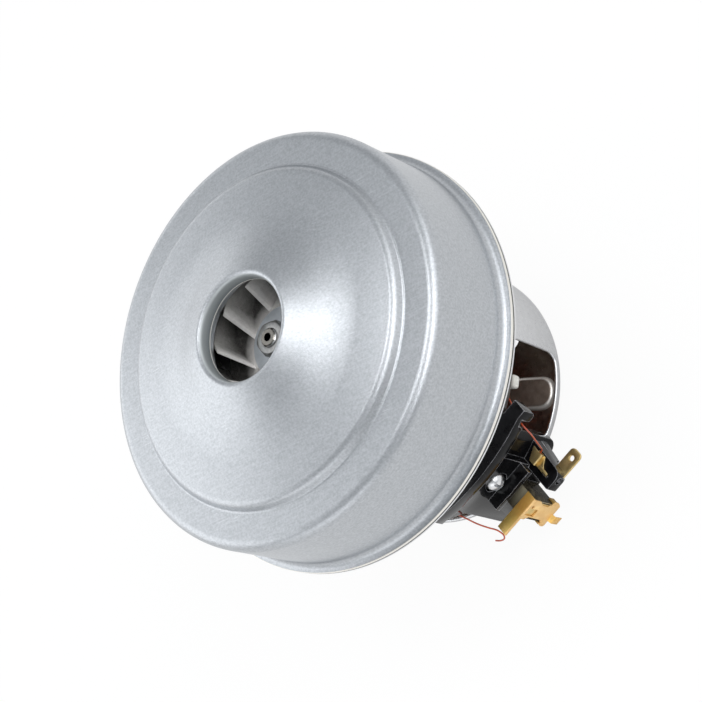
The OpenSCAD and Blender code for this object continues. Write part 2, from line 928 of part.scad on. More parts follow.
// Brush spring between brush and cap
brush_in = commutator_d / 2 + slide_gap;
spring_in = brush_in + brush_l + seat_gap;
spring_l = cap_x - seat_gap - spring_in;
spring_r = (spring_d - spring_wire_d) / 2;
spring_steps = 8 * spring_curls;
spring_path = concat(
    [[spring_in, spring_r, 0]],
    [
        for (i = [0 : spring_steps])
            let (a = 360 * i / 8)
            [
                spring_in + spring_wire_d + (spring_l - 2 * spring_wire_d) * i / spring_steps,
                spring_r * cos(a),
                spring_r * sin(a)
            ]
    ],
    [[spring_in + spring_l, spring_r, 0]]
);
echo(spring_least_gap = least_gap(spring_path, 6, spring_wire_d));

module brush_spring() {
    color("gray")
        translate([0, 0, brush_z])
            tube(spring_path, spring_wire_d, 6);
}

module carbon_brush() {
    color("#2b2b2d")
        difference() {
            translate([0, -brush_w / 2, brush_z - brush_h / 2])
                cube([brush_in + brush_l, brush_w, brush_h]);
            cylinder(r = brush_in, h = far);
        }
}

// Terminal: one strip with the tab outside the block, a riser and the folded hook on the block
fold_x = 50.5;
fold_l = 5;
fold_w = 4.2;
fold_gap = lead_d + seat_gap;
module terminal() {
    tip = block_w + tab_l - strip_y;
    tip_r = 1.5;
    eye_d = 1.9;
    strip_z = block_top + seat_gap;
    color("#a9863c") {
        translate([tab_x, strip_y, tab_z - tab_t / 2])
            linear_extrude(tab_t)
                difference() {
                    union() {
                        translate([-tab_w / 2, 0])
                            square([tab_w, tip - tip_r]);
                        translate([0, tip - tip_r])
                            slot_shape(tab_w, 2 * tip_r);
                    }
                    translate([0, tip - 2 * tip_r])
                        circle(d = eye_d);
                }
        translate([riser_x, strip_y, tab_z])
            cube([riser_w, strip_t, strip_z + strip_t - tab_z]);
        translate([fold_x - fold_l / 2, strip_y, strip_z])
            cube([riser_x + riser_w - fold_x + fold_l / 2, strip_w, strip_t]);
        for (z = [strip_z, strip_z + strip_t + fold_gap])
            translate([fold_x, strip_y, z])
                linear_extrude(strip_t)
                    polygon([[0, 0], [0, fold_w], [-fold_l, fold_w], [-fold_l / 2, 0]]);
        translate([fold_x - strip_t, strip_y, strip_z])
            cube([strip_t, fold_w, 2 * strip_t + fold_gap]);
    }
}

screw_tip = 4;
head_rim = 0.4;
module holder_screws() {
    color("whitesmoke")
        around(2)
            translate([screw_seat, 0, screw_z])
                rotate([0, 90, 0])
                    difference() {
                        union() {
                            rotate_extrude()
                                polygon(concat(
                                    [[0, 0], [screw_head_d / 2, 0]],
                                    [
                                        for (a = [0 : 10 : 80])
                                            [screw_head_d / 2 * cos(a), head_rim + (head_t - head_rim) * sin(a)]
                                    ],
                                    [[0, head_t]]
                                ));
                            translate([0, 0, can_rad - screw_tip - screw_seat])
                                cylinder(d = screw_d, h = screw_seat - can_rad + screw_tip + head_t / 2);
                        }
                        translate([0, 0, head_t / 2])
                            cross_recess(screw_head_d * 0.6, head_t);
                    }
}

// Enamelled leads from the field coils, as points chosen along their routes
terminal_route = [
    [23.8, 21.4, 35], [27, 22.4, 35.8], [31, 23, 36.6], [35.1, 23, 37.1], [38.1, 22.9, 38.3], [40.4, 22.6, 40],
    [42.6, 22.4, 41.2], [46, 22.4, 41.5], [48.6, 22.2, 41.2], [50, 21.8, 39.6], [50, 20.6, 36],
    [49.8, 18.8, 31], [49.2, 17.4, 27], [48.7, 16.7, 25], [48.5, 15.9, 24], [48.5, 12.6, 24]
];
brush_route = [
    [23.8, -21.4, 35], [30, -22.6, 35.2], [36, -22, 35.3], [41, -19.8, 35], [45.4, -16.6, 34.6],
    [48.8, -15.2, 33], [52, -14.2, 30.6], [54.6, -13, 27.6], [56, -12.2, 25.8], [57, -12.1, 24.4],
    [58, -12.3, 23.4], [58.4, -13.2, 22.6], [57.8, -14.6, 22.4], [56.4, -16, 22.4]
];
module terminal_wire() {
    color("firebrick")
        tube(terminal_route, lead_d, 8);
}

module brush_wire() {
    color("firebrick")
        tube(brush_route, lead_d, 8);
}

// Deep groove ball bearing, seen in section
pitch_rad = (bearing_rad + seat_rad) / 2;
ring_t = (bearing_rad - seat_rad) * 0.28;
groove_rad = ball_d / 2 + ball_gap;
module outer_ring(z) {
    color("lightgray")
        translate([0, 0, z])
            difference() {
                ring(bearing_rad - ring_t, bearing_rad, bearing_w);
                ball_groove();
                for (s = [0, 1])
                    translate([0, 0, s * (bearing_w - shield_t - seat_gap) - (1 - s)])
                        cylinder(r = bearing_rad - ring_t + 0.5, h = shield_t + seat_gap + 1);
            }
}

module inner_ring(z) {
    color("lightgray")
        translate([0, 0, z])
            difference() {
                ring(seat_rad + press_gap, seat_rad + ring_t, bearing_w);
                ball_groove();
            }
}

module ball_groove() {
    translate([0, 0, bearing_w / 2])
        rotate_extrude()
            translate([pitch_rad, 0])
                circle(r = groove_rad);
}

module ball_set(z) {
    color("white")
        translate([0, 0, z + bearing_w / 2]) {
            around(balls)
                translate([pitch_rad, 0, 0])
                    sphere(d = ball_d);
            ball_cage();
        }
}

// Cage that spaces the balls
module ball_cage() {
    difference() {
        translate([0, 0, -ball_d * 0.3])
            ring(pitch_rad - 0.5, pitch_rad + 0.5, ball_d * 0.6);
        around(balls)
            translate([pitch_rad, 0, 0])
                sphere(d = ball_d - 0.02);
    }
}

module shields(z) {
    color("dimgray")
        for (s = [0, 1])
            translate([0, 0, z + s * (bearing_w - shield_t)])
                ring(seat_rad + ring_t + 0.3, bearing_rad - ring_t + 0.5 - press_gap, shield_t);
}

module wave_washer() {
    color("gray")
        translate([0, 0, can_sheet + washer_play / 2])
            ring(bearing_rad - ring_t, bearing_rad - 1, washer_t);
}

module shaft() {
    center_d = 2.6;
    color("lightgray")
        difference() {
            union() {
                translate([0, 0, shaft_z])
                    cylinder(r = seat_rad, h = hub_top - 0.5 - shaft_z);
                translate([0, 0, rear_bearing_z + bearing_w])
                    cylinder(d = shaft_d, h = front_bearing_z - rear_bearing_z - bearing_w);
                rotate_extrude()
                    polygon([
                        [0, hub_top - 1],
                        [thread_d / 2, hub_top - 1],
                        [thread_d / 2, shaft_top - 0.5],
                        [thread_d / 2 - 0.5, shaft_top],
                        [0, shaft_top]
                    ]);
            }
            translate([0, 0, shaft_top - 2.5])
                cylinder(d = center_d, h = 5);
        }
}

// Slotted lamination stack of the armature
slot_rad = 3.2;
slot_pos = armature_d / 2 - slot_rad - 2.4;
module armature_core() {
    color("slategray")
        translate([0, 0, stack_z])
            linear_extrude(stack_h)
                difference() {
                    circle(d = armature_d, $fn = 128);
                    circle(d = shaft_d + 2 * press_gap);
                    around(slots) {
                        translate([slot_pos, 0])
                            circle(r = slot_rad, $fn = 32);
                        translate([slot_pos, -1.1])
                            square([far, 2.2]);
                    }
                }
}

// Coil heads at both ends and the legs in the slots
head_h = 7.5;
module armature_winding() {
    head_in = shaft_d / 2 + 1;
    head_out = slot_pos + slot_rad;
    color("sienna") {
        for (top = [0, 1])
            translate([0, 0, top ? stack_top + seat_gap : stack_z - seat_gap])
                mirror([0, 0, 1 - top])
                    rotate_extrude()
                        polygon(concat(
                            [[head_in, 0]],
                            rounded([
                                [head_out, 0, 0],
                                [head_out, head_h, 3],
                                [head_in, head_h, 2],
                                [head_in, 0, 0]
                            ])
                        ));
        around(slots)
            translate([slot_pos, 0, stack_z - 0.5])
                cylinder(r = slot_rad - 0.2, h = stack_h + 1, $fn = 32);
    }
}

// Copper bars with the hooks that take the armature wire
commutator_z = brush_z - brush_h / 2 - 0.8;
bar_depth = 3;
riser_h = 2.4;
riser_rise = 1.2;
bar_gap = 0.5;
module commutator_bars() {
    color("peru")
        translate([0, 0, commutator_z]) {
            linear_extrude(commutator_l)
                bar_shape(commutator_d / 2);
            translate([0, 0, commutator_l - riser_h])
                linear_extrude(riser_h)
                    bar_shape(commutator_d / 2 + riser_rise);
        }
}

// Bars in section, out to a radius
module bar_shape(r_out) {
    difference() {
        circle(r = r_out);
        circle(r = commutator_d / 2 - bar_depth);
        around(bars, 180 / bars)
            translate([0, -bar_gap / 2])
                square([far, bar_gap]);
    }
}

module commutator_hub() {
    color("#3a2a20")
        translate([0, 0, commutator_z])
            ring(shaft_d / 2 + press_gap, commutator_d / 2 - bar_depth - press_gap, commutator_l);
}

// Fan stack on the shaft
spacer_z = front_bearing_z + bearing_w;
module impeller_spacer() {
    color("silver")
        translate([0, 0, spacer_z])
            ring(seat_rad + press_gap, seat_rad + 2.6, plate_z - spacer_z);
}

module impeller_plate() {
    color("silver")
        translate([0, 0, plate_z])
            ring(seat_rad + press_gap, impeller_rad, impeller_t);
}

// Front plate of the impeller, from the eye to the outlet
neck_rad = inlet_rad + cover_sheet;
eye_rad = neck_rad + run_gap;
eye_z = neck_z + 1.2;
shroud_z = hub_z + outlet_h;
shroud_knee = [inducer_d / 2, neck_z - 5.4];
shroud_path = [
    [impeller_rad, shroud_z, 0],
    [shroud_knee.x, shroud_knee.y, 12],
    [eye_rad, shroud_knee.y + 1.6, 1.2],
    [eye_rad, eye_z, 0]
];
module impeller_shroud() {
    color("silver")
        revolve(shroud_path, -impeller_t * 0.8);
}

// Space between back plate and shroud
module blade_space(r_in) {
    rotate_extrude($fn = 128)
        polygon([
            [r_in, hub_z],
            [impeller_rad - 0.5, hub_z],
            [impeller_rad - 0.5, shroud_z - seat_gap],
            [shroud_knee.x, shroud_knee.y - 1.2],
            [r_in, shroud_knee.y - 1.2]
        ]);
}

blade_sweep = -62;
module impeller_blades() {
    color("silver")
        intersection() {
            translate([0, 0, hub_z])
                linear_extrude(neck_z - hub_z)
                    around(blades)
                        vane_shape(inducer_d / 2 + impeller_t, impeller_rad + impeller_t, blade_sweep, impeller_t);
            blade_space(inducer_d / 2);
        }
}

// Moulded inducer: a flared hub with leaning vanes that scoop the air
vane_tip = [inlet_rad + 1, neck_z - 3.6];
vane_lean = 15;
vane_t = 1.3;
vane_turn = 38;
hub_rad = clamp_d / 2 + 0.6;
hub_flare = 2.5;
flare_r = 7;
module inducer() {
    color("#77706a") {
        difference() {
            rotate_extrude()
                polygon(concat(
                    [[0, hub_z], [inducer_d / 2 - 1, hub_z]],
                    rounded([
                        [inducer_d / 2 - 1, hub_z + 0.6, 0],
                        [hub_rad + hub_flare, hub_z + 0.9, flare_r],
                        [hub_rad, hub_top, 0]
                    ]),
                    [[0, hub_top]]
                ));
            translate([0, 0, hub_z - 1])
                cylinder(r = seat_rad + press_gap, h = hub_h + 2);
        }
        around(blades)
            inducer_vane();
    }
}

// A vane lofted through stations from its leading edge to the impeller's blade
module inducer_vane() {
    n = 6;
    root_z = hub_z + 0.3;
    stations = [
        for (i = [0 : n])
            let (
                s = i / n,
                root_r = hub_rad + 2 + (inducer_d / 2 - hub_rad - 2) * s,
                tip_r = vane_tip.x + (inducer_d / 2 - vane_tip.x) * s,
                tip_z = vane_tip.y + (shroud_knee.y - 1.4 - vane_tip.y) * s,
                root_a = vane_lean * (1 - s) + vane_turn * (1 - s),
                tip_a = vane_turn * (1 - s)
            )
            each [
                vane_corner(root_r, root_a, root_z, -1),
                vane_corner(root_r, root_a, root_z, 1),
                vane_corner(tip_r, tip_a, tip_z, 1),
                vane_corner(tip_r, tip_a, tip_z, -1)
            ]
    ];
    walls = [
        for (i = [0 : n - 1], k = [0 : 3])
            let (a = 4 * i + k, b = 4 * i + (k + 1) % 4)
            each [[a, a + 4, b], [b, a + 4, b + 4]]
    ];
    ends = [[0, 1, 2], [0, 2, 3], [4 * n, 4 * n + 2, 4 * n + 1], [4 * n, 4 * n + 3, 4 * n + 2]];
    polyhedron(stations, concat(walls, ends));
}

function vane_corner(r, a, z, side) =
    let (b = a + side * vane_t / 2 / r * 180 / PI)
    [r * cos(b), r * sin(b), z];

module clamp_washer() {
    color("lightsteelblue")
        translate([0, 0, hub_top])
            ring(thread_d / 2 + press_gap, clamp_d / 2, clamp_t);
}

module impeller_nut() {
    color("gainsboro")
        translate([0, 0, nut_z])
            difference() {
                intersection() {
                    cylinder(d = nut_w / cos(30), h = nut_h, $fn = 6);
                    rotate_extrude()
                        polygon([
                            [0, 0],
                            [nut_w / cos(30) / 2, 0],
                            [nut_w / cos(30) / 2, nut_h - 0.7],
                            [nut_w / 2 * 0.95, nut_h],
                            [0, nut_h]
                        ]);
                }
                translate([0, 0, -1])
                    cylinder(r = thread_d / 2 + press_gap, h = nut_h + 2);
            }
}

fan_cover();
motor_can();
front_bracket();
bracket_screws();
diffuser();
stator_core();
field_coil(90);  // field_coil_a
field_coil(270);  // field_coil_b
field_winding(90);  // field_winding_a
field_winding(270);  // field_winding_b
coil_insulator(90);  // coil_insulator_a
coil_insulator(270);  // coil_insulator_b
both_sides("a") brush_holder();  // brush_holder_a
both_sides("b") brush_holder();  // brush_holder_b
both_sides("a") brush_tube();  // brush_tube_a
both_sides("b") brush_tube();  // brush_tube_b
both_sides("a") brush_cap();  // brush_cap_a
both_sides("b") brush_cap();  // brush_cap_b
both_sides("a") brush_spring();  // brush_spring_a
both_sides("b") brush_spring();  // brush_spring_b
both_sides("a") carbon_brush();  // carbon_brush_a
both_sides("b") carbon_brush();  // carbon_brush_b
both_sides("a") terminal();  // terminal_a
both_sides("b") terminal();  // terminal_b
holder_screws();
both_sides("a") terminal_wire();  // terminal_wire_a
both_sides("b") terminal_wire();  // terminal_wire_b
both_sides("a") brush_wire();  // brush_wire_a
both_sides("b") brush_wire();  // brush_wire_b
outer_ring(front_bearing_z);  // front_outer_ring
inner_ring(front_bearing_z);  // front_inner_ring
ball_set(front_bearing_z);  // front_balls
shields(front_bearing_z);  // front_shields
outer_ring(rear_bearing_z);  // rear_outer_ring
inner_ring(rear_bearing_z);  // rear_inner_ring
ball_set(rear_bearing_z);  // rear_balls
shields(rear_bearing_z);  // rear_shields
wave_washer();
shaft();
armature_core();
armature_winding();
commutator_bars();
commutator_hub();
impeller_spacer();
impeller_plate();
impeller_blades();
impeller_shroud();
inducer();
clamp_washer();
impeller_nut();
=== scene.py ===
import math
import bmesh
import bpy
from mathutils import Matrix, Vector


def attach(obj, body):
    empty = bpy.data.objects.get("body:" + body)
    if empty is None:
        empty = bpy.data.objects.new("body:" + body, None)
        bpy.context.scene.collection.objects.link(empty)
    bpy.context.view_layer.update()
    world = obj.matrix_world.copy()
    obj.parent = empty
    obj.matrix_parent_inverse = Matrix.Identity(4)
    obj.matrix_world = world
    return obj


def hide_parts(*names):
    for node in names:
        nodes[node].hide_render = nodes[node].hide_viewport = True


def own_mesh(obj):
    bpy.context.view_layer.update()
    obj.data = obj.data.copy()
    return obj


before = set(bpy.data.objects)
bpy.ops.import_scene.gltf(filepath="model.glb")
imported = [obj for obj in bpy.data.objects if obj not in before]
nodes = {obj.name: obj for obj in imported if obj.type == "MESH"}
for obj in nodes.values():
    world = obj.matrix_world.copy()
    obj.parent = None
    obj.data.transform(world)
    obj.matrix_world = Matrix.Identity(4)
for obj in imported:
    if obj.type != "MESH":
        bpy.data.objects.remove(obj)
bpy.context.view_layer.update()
mm = 0.001
weld = 0.001 * mm   # points closer than this are one
print("frame loaded with", len(nodes), "nodes")

scene = bpy.context.scene
scene.view_settings.view_transform = "Standard"


# finishes: every surface has a tone that drifts, a grain in its gloss and a fine relief
def noiseAt(tree, place, size, detail):
    noise = tree.nodes.new("ShaderNodeTexNoise")
    noise.inputs["Scale"].default_value = 1 / size
    noise.inputs["Detail"].default_value = detail
    tree.links.new(place, noise.inputs["Vector"])
    return noise.outputs["Fac"]


def toneRamp(tree, value, stops):
    ramp = tree.nodes.new("ShaderNodeValToRGB")
    points = ramp.color_ramp.elements
    while len(points) < len(stops):
        points.new(0.5)
    for point, (where, colour) in zip(points, stops):
        point.position = where
        point.color = (*colour, 1)
    tree.links.new(value, ramp.inputs["Fac"])
    return ramp.outputs["Color"]


def spread(tree, value, low, high, fromLow=0.3, fromHigh=0.7):
    span = tree.nodes.new("ShaderNodeMapRange")
    span.inputs["From Min"].default_value = fromLow
    span.inputs["From Max"].default_value = fromHigh
    span.inputs["To Min"].default_value = low
    span.inputs["To Max"].default_value = high
    tree.links.new(value, span.inputs["Value"])
    return span.outputs["Result"]


def sums(tree, kind, a, b):
    node = tree.nodes.new("ShaderNodeMath")
    node.operation = kind
    for socket, value in zip(node.inputs, (a, b)):
        if isinstance(value, (int, float)):
            socket.default_value = value
        else:
            tree.links.new(value, socket)
    return node.outputs["Value"]


def blendTone(tree, share, a, b):
    mix = tree.nodes.new("ShaderNodeMix")
    mix.data_type = "RGBA"
    tree.links.new(share, mix.inputs[0])
    for socket, value in ((mix.inputs[6], a), (mix.inputs[7], b)):
        if isinstance(value, tuple):
            socket.default_value = (*value, 1)
        else:
            tree.links.new(value, socket)
    return mix.outputs[2]


def axisOf(tree, place):
    split = tree.nodes.new("ShaderNodeSeparateXYZ")
    tree.links.new(place, split.inputs["Vector"])
    return split.outputs


def fromAxis(tree, split):
    square = sums(tree, "ADD", sums(tree, "POWER", split["X"], 2), sums(tree, "POWER", split["Y"], 2))
    return sums(tree, "SQRT", square, 0)


def setTone(finish, tone):
    finish["tone"] = tone
    finish["tree"].links.new(tone, finish["shader"].inputs["Base Color"])


finishBase = {"driftDetail": 4, "grainDetail": 3, "stops": (0.32, 0.68)}


def makeFinish(name, look):
    finish = bpy.data.materials.new(name)
    finish.use_nodes = True
    tree = finish.node_tree
    shader = tree.nodes["Principled BSDF"]
    place = tree.nodes.new("ShaderNodeTexCoord").outputs["Object"]
    drift = noiseAt(tree, place, look["drift"], finishBase["driftDetail"])
    grain = noiseAt(tree, place, look["grain"], finishBase["grainDetail"])
    low, high = finishBase["stops"]
    tone = toneRamp(tree, drift, [(low, look["dark"]), (high, look["light"])])
    tree.links.new(tone, shader.inputs["Base Color"])
    tree.links.new(spread(tree, grain, *look["rough"]), shader.inputs["Roughness"])
    shader.inputs["Metallic"].default_value = look.get("metal", 0)
    shader.inputs["Specular IOR Level"].default_value = look.get("shine", 0.5)
    shader.inputs["Specular Tint"].default_value = (*look.get("edge", (1, 1, 1)), 1)
    shader.inputs["Coat Weight"].default_value = look.get("coat", 0)
    shader.inputs["Coat Roughness"].default_value = look.get("coatRough", 0.1)
    relief = tree.nodes.new("ShaderNodeBump")
    relief.inputs["Strength"].default_value = look.get("relief", 0.1)
    relief.inputs["Distance"].default_value = look.get("depth", 0.1) * mm
    tree.links.new(grain, relief.inputs["Height"])
    tree.links.new(relief.outputs["Normal"], shader.inputs["Normal"])
    return {"material": finish, "tree": tree, "shader": shader, "place": place, "tone": tone,
            "relief": relief}


looks = {
    "coverSteel": {"dark": (0.395, 0.414, 0.436), "light": (0.505, 0.526, 0.553), "metal": 1,
                   "rough": (0.31, 0.43), "drift": 0.7 * mm, "grain": 0.32 * mm, "relief": 0.75,
                   "depth": 0.045},
    "canSteel": {"dark": (0.71, 0.718, 0.733), "light": (0.78, 0.788, 0.803), "metal": 1,
                 "rough": (0.26, 0.38), "drift": 1.4 * mm, "grain": 0.45 * mm, "relief": 0.2, "depth": 0.05},
    "beadSteel": {"dark": (0.2, 0.15, 0.125), "light": (0.3, 0.24, 0.2), "metal": 0.6,
                  "rough": (0.26, 0.38), "drift": 3 * mm, "grain": 0.3 * mm, "relief": 0.15, "depth": 0.04},
    "bracketSteel": {"dark": (0.5, 0.51, 0.52), "light": (0.58, 0.59, 0.6), "metal": 1,
                     "rough": (0.3, 0.42), "drift": 6 * mm, "grain": 0.4 * mm, "relief": 0.2, "depth": 0.05},
    "screwSteel": {"dark": (0.68, 0.69, 0.7), "light": (0.8, 0.81, 0.83), "metal": 1, "rough": (0.24, 0.36),
                   "drift": 2 * mm, "grain": 0.2 * mm, "relief": 0.15, "depth": 0.03},
    "nutSteel": {"dark": (0.36, 0.36, 0.36), "light": (0.5, 0.5, 0.49), "metal": 1, "rough": (0.26, 0.38),
                 "drift": 1.5 * mm, "grain": 0.2 * mm, "relief": 0.2, "depth": 0.03},
    "bearingSteel": {"dark": (0.6, 0.6, 0.6), "light": (0.7, 0.7, 0.71), "metal": 1, "rough": (0.14, 0.22),
                     "drift": 4 * mm, "grain": 0.2 * mm, "relief": 0.08, "depth": 0.02},
    "springSteel": {"dark": (0.45, 0.45, 0.46), "light": (0.58, 0.58, 0.6), "metal": 1,
                    "rough": (0.22, 0.34), "drift": 2 * mm, "grain": 0.15 * mm, "relief": 0.15,
                    "depth": 0.03},
    "lamination": {"dark": (0.075, 0.07, 0.068), "light": (0.13, 0.122, 0.118), "metal": 0.7,
                   "rough": (0.42, 0.6), "drift": 5 * mm, "grain": 0.3 * mm, "relief": 0.25, "depth": 0.05},
    "copper": {"dark": (0.5, 0.24, 0.12), "light": (0.64, 0.33, 0.18), "metal": 1, "rough": (0.25, 0.4),
               "drift": 2.5 * mm, "grain": 0.2 * mm, "relief": 0.15, "depth": 0.03},
    "enamelWire": {"dark": (0.38, 0.045, 0.014), "light": (0.6, 0.1, 0.032), "rough": (0.28, 0.42),
                   "coat": 0.6, "coatRough": 0.15, "drift": 3 * mm, "grain": 0.25 * mm, "relief": 0.12,
                   "depth": 0.04},
    "capCopper": {"dark": (0.84, 0.52, 0.2), "light": (0.95, 0.66, 0.3), "metal": 0.6,
                  "rough": (0.34, 0.48), "drift": 3 * mm, "grain": 0.2 * mm, "relief": 0.18, "depth": 0.03},
    # the lug's finish: the cap copper made more golden, as a painted highlight on its bend
    "lugHighlightGold": {"dark": (0.86, 0.47, 0.1), "light": (0.98, 0.63, 0.2), "metal": 0.7, "rough": (0.26, 0.4),
                "drift": 1.5 * mm, "grain": 0.2 * mm, "relief": 0.18, "depth": 0.03},
    "brass": {"dark": (0.66, 0.48, 0.19), "light": (0.82, 0.63, 0.3), "metal": 0.9, "rough": (0.3, 0.44),
              "drift": 3 * mm, "grain": 0.2 * mm, "relief": 0.2, "depth": 0.03},
    "tubeBrass": {"dark": (0.2, 0.178, 0.12), "light": (0.36, 0.325, 0.235), "metal": 0.55,
                  "edge": (0.2, 0.17, 0.11), "rough": (0.12, 0.24), "drift": 2.5 * mm, "grain": 0.25 * mm,
                  "relief": 0.2, "depth": 0.04},
    "bakelite": {"dark": (0.003, 0.003, 0.0035), "light": (0.008, 0.008, 0.009), "rough": (0.1, 0.2),
                 "shine": 0.1, "coatRough": 0.07, "drift": 4 * mm, "grain": 0.6 * mm, "relief": 0.12,
                 "depth": 0.06},
    "insulator": {"dark": (0.72, 0.7, 0.64), "light": (0.82, 0.81, 0.77), "rough": (0.45, 0.6),
                  "drift": 5 * mm, "grain": 0.4 * mm, "relief": 0.15, "depth": 0.05},
    "carbon": {"dark": (0.02, 0.02, 0.021), "light": (0.045, 0.045, 0.047), "metal": 0.2,
               "rough": (0.45, 0.62), "drift": 1.5 * mm, "grain": 0.15 * mm, "relief": 0.3, "depth": 0.05},
    "phenolic": {"dark": (0.07, 0.03, 0.018), "light": (0.12, 0.055, 0.032), "rough": (0.3, 0.45),
                 "drift": 2 * mm, "grain": 0.3 * mm, "relief": 0.15, "depth": 0.05},
    "diffuserPlastic": {"dark": (0.05, 0.05, 0.052), "light": (0.085, 0.085, 0.088), "rough": (0.4, 0.55),
                        "drift": 6 * mm, "grain": 0.5 * mm, "relief": 0.18, "depth": 0.06},
    "inducerPlastic": {"dark": (0.3, 0.292, 0.28), "light": (0.39, 0.381, 0.365), "rough": (0.24, 0.36),
                       "coat": 0.5, "coatRough": 0.12, "drift": 5 * mm, "grain": 0.35 * mm, "relief": 0.14,
                       "depth": 0.05},
    "fanAluminium": {"dark": (0.62, 0.63, 0.64), "light": (0.7, 0.71, 0.72), "metal": 1,
                     "rough": (0.28, 0.4), "drift": 7 * mm, "grain": 0.4 * mm, "relief": 0.15, "depth": 0.04},
    "washerSteel": {"dark": (0.56, 0.6, 0.64), "light": (0.66, 0.7, 0.74), "metal": 1,
                    "rough": (0.42, 0.55), "drift": 3 * mm, "grain": 0.25 * mm, "relief": 0.15,
                    "depth": 0.03},
}
finishes = {name: makeFinish(name, look) for name, look in looks.items()}


# the can is drawn steel outside and a darker, mottled brown inside,
# with painted shade in the seam under the cover's rim
canMask = {"wall": 42.6 * mm, "floor": 10.1 * mm, "dark": (0.32, 0.245, 0.205), "light": (0.44, 0.36, 0.31),
           "seamShade": 66.9 * mm, "seamFoot": 74.4 * mm, "shadow": (0.06, 0.06, 0.06), "mist": 3 * mm}


def shadeCanInside(finish):
    tree, place = finish["tree"], finish["place"]
    split = axisOf(tree, place)
    out = fromAxis(tree, split)
    nearAxis = sums(tree, "LESS_THAN", out, canMask["wall"])
    above = sums(tree, "GREATER_THAN", split["Z"], canMask["floor"])
    inside = sums(tree, "MULTIPLY", nearAxis, above)
    mist = noiseAt(tree, place, canMask["mist"], 4)
    insideTone = toneRamp(tree, mist, [(0.3, canMask["dark"]), (0.7, canMask["light"])])
    # painted shade: near black in the seam under the cover's rim
    seamShade = sums(tree, "MULTIPLY", sums(tree, "GREATER_THAN", out, canMask["seamShade"]),
                sums(tree, "GREATER_THAN", split["Z"], canMask["seamFoot"]))
    tone = blendTone(tree, inside, finish["tone"], insideTone)
    setTone(finish, blendTone(tree, seamShade, tone, canMask["shadow"]))


shadeCanInside(finishes["canSteel"])


# the stack's sheets show as fine lines across its height
sheetLines = {"pitch": 0.5 * mm, "band": 0.314, "waver": 0.4, "strength": 0.5, "depth": 0.08 * mm}


def lineSheets(finish):
    tree = finish["tree"]
    wave = tree.nodes.new("ShaderNodeTexWave")
    wave.bands_direction = "Z"
    wave.inputs["Scale"].default_value = sheetLines["band"] / sheetLines["pitch"]
    wave.inputs["Distortion"].default_value = sheetLines["waver"]
    tree.links.new(finish["place"], wave.inputs["Vector"])
    ridge = tree.nodes.new("ShaderNodeBump")
    ridge.inputs["Strength"].default_value = sheetLines["strength"]
    ridge.inputs["Distance"].default_value = sheetLines["depth"]
    tree.links.new(wave.outputs["Fac"], ridge.inputs["Height"])
    tree.links.new(finish["relief"].outputs["Normal"], ridge.inputs["Normal"])
    tree.links.new(ridge.outputs["Normal"], finish["shader"].inputs["Normal"])


lineSheets(finishes["lamination"])


# the cap's arm, behind its plate, is tarnished: orange brown by the bend and olive at its end
armTint = {"plate": 58.5 * mm, "bend": (0.58, 0.31, 0.07), "end": (0.58, 0.41, 0.11), "from": 2 * mm,
           "to": 7 * mm, "metal": (0.6, 0.25), "mottle": 1.2 * mm, "mottleBy": 0.3}


def tintArm(finish):
    tree, place = finish["tree"], finish["place"]
    split = axisOf(tree, place)
    behind = sums(tree, "LESS_THAN", sums(tree, "ABSOLUTE", split["X"], 0), armTint["plate"])
    along = spread(tree, sums(tree, "ABSOLUTE", split["Y"], 0), 0, 1, armTint["from"], armTint["to"])
    most = armTint["mottleBy"]
    mottle = spread(tree, noiseAt(tree, place, armTint["mottle"], 4), -most, most)
    olive = blendTone(tree, sums(tree, "ADD", along, mottle), armTint["bend"], armTint["end"])
    setTone(finish, blendTone(tree, behind, finish["tone"], olive))
    tree.links.new(spread(tree, behind, *armTint["metal"]), finish["shader"].inputs["Metallic"])


tintArm(finishes["capCopper"])


# the cover's sheet keeps fine rolling streaks, and here and there a few scuffs
scuffLook = {"turn": -28, "stretch": 16, "width": 0.34 * mm, "streaks": (0.42, 0.72, 0.24),
             "scuffs": (0.6, 0.7, 0.6), "patch": 16 * mm, "patches": (0.54, 0.66),
             "bright": (0.66, 0.685, 0.715)}


def scuffCover(finish):
    tree, look = finish["tree"], scuffLook
    turn = tree.nodes.new("ShaderNodeMapping")
    turn.vector_type = "TEXTURE"
    turn.inputs["Rotation"].default_value = (0, 0, math.radians(look["turn"]))
    turn.inputs["Scale"].default_value = (1, look["stretch"], 1)
    tree.links.new(finish["place"], turn.inputs["Vector"])
    line = noiseAt(tree, turn.outputs["Vector"], look["width"], 2)
    low, high, most = look["streaks"]
    streak = spread(tree, line, 0, most, low, high)
    low, high, most = look["scuffs"]
    patch = spread(tree, noiseAt(tree, finish["place"], look["patch"], 2), 0, 1, *look["patches"])
    scuff = sums(tree, "MULTIPLY", patch, spread(tree, line, 0, most, low, high))
    setTone(finish, blendTone(tree, sums(tree, "MAXIMUM", streak, scuff), finish["tone"], look["bright"]))


scuffCover(finishes["coverSteel"])


# inside its inlet the cover is dulled and takes painted shade further in, and its cut edges at the inlet and
# round the rim are painted bright as highlights
neckTint = {"radius": 16.4 * mm, "blur": 0.5 * mm, "tone": (0.45, 0.48, 0.49), "metal": 0.35,
            "shadeTone": (0.23, 0.255, 0.265), "fade": (115.0 * mm, 117.8 * mm), "cut": 114.75 * mm,
            "rim": 67.3 * mm, "bright": (0.86, 0.84, 0.79)}


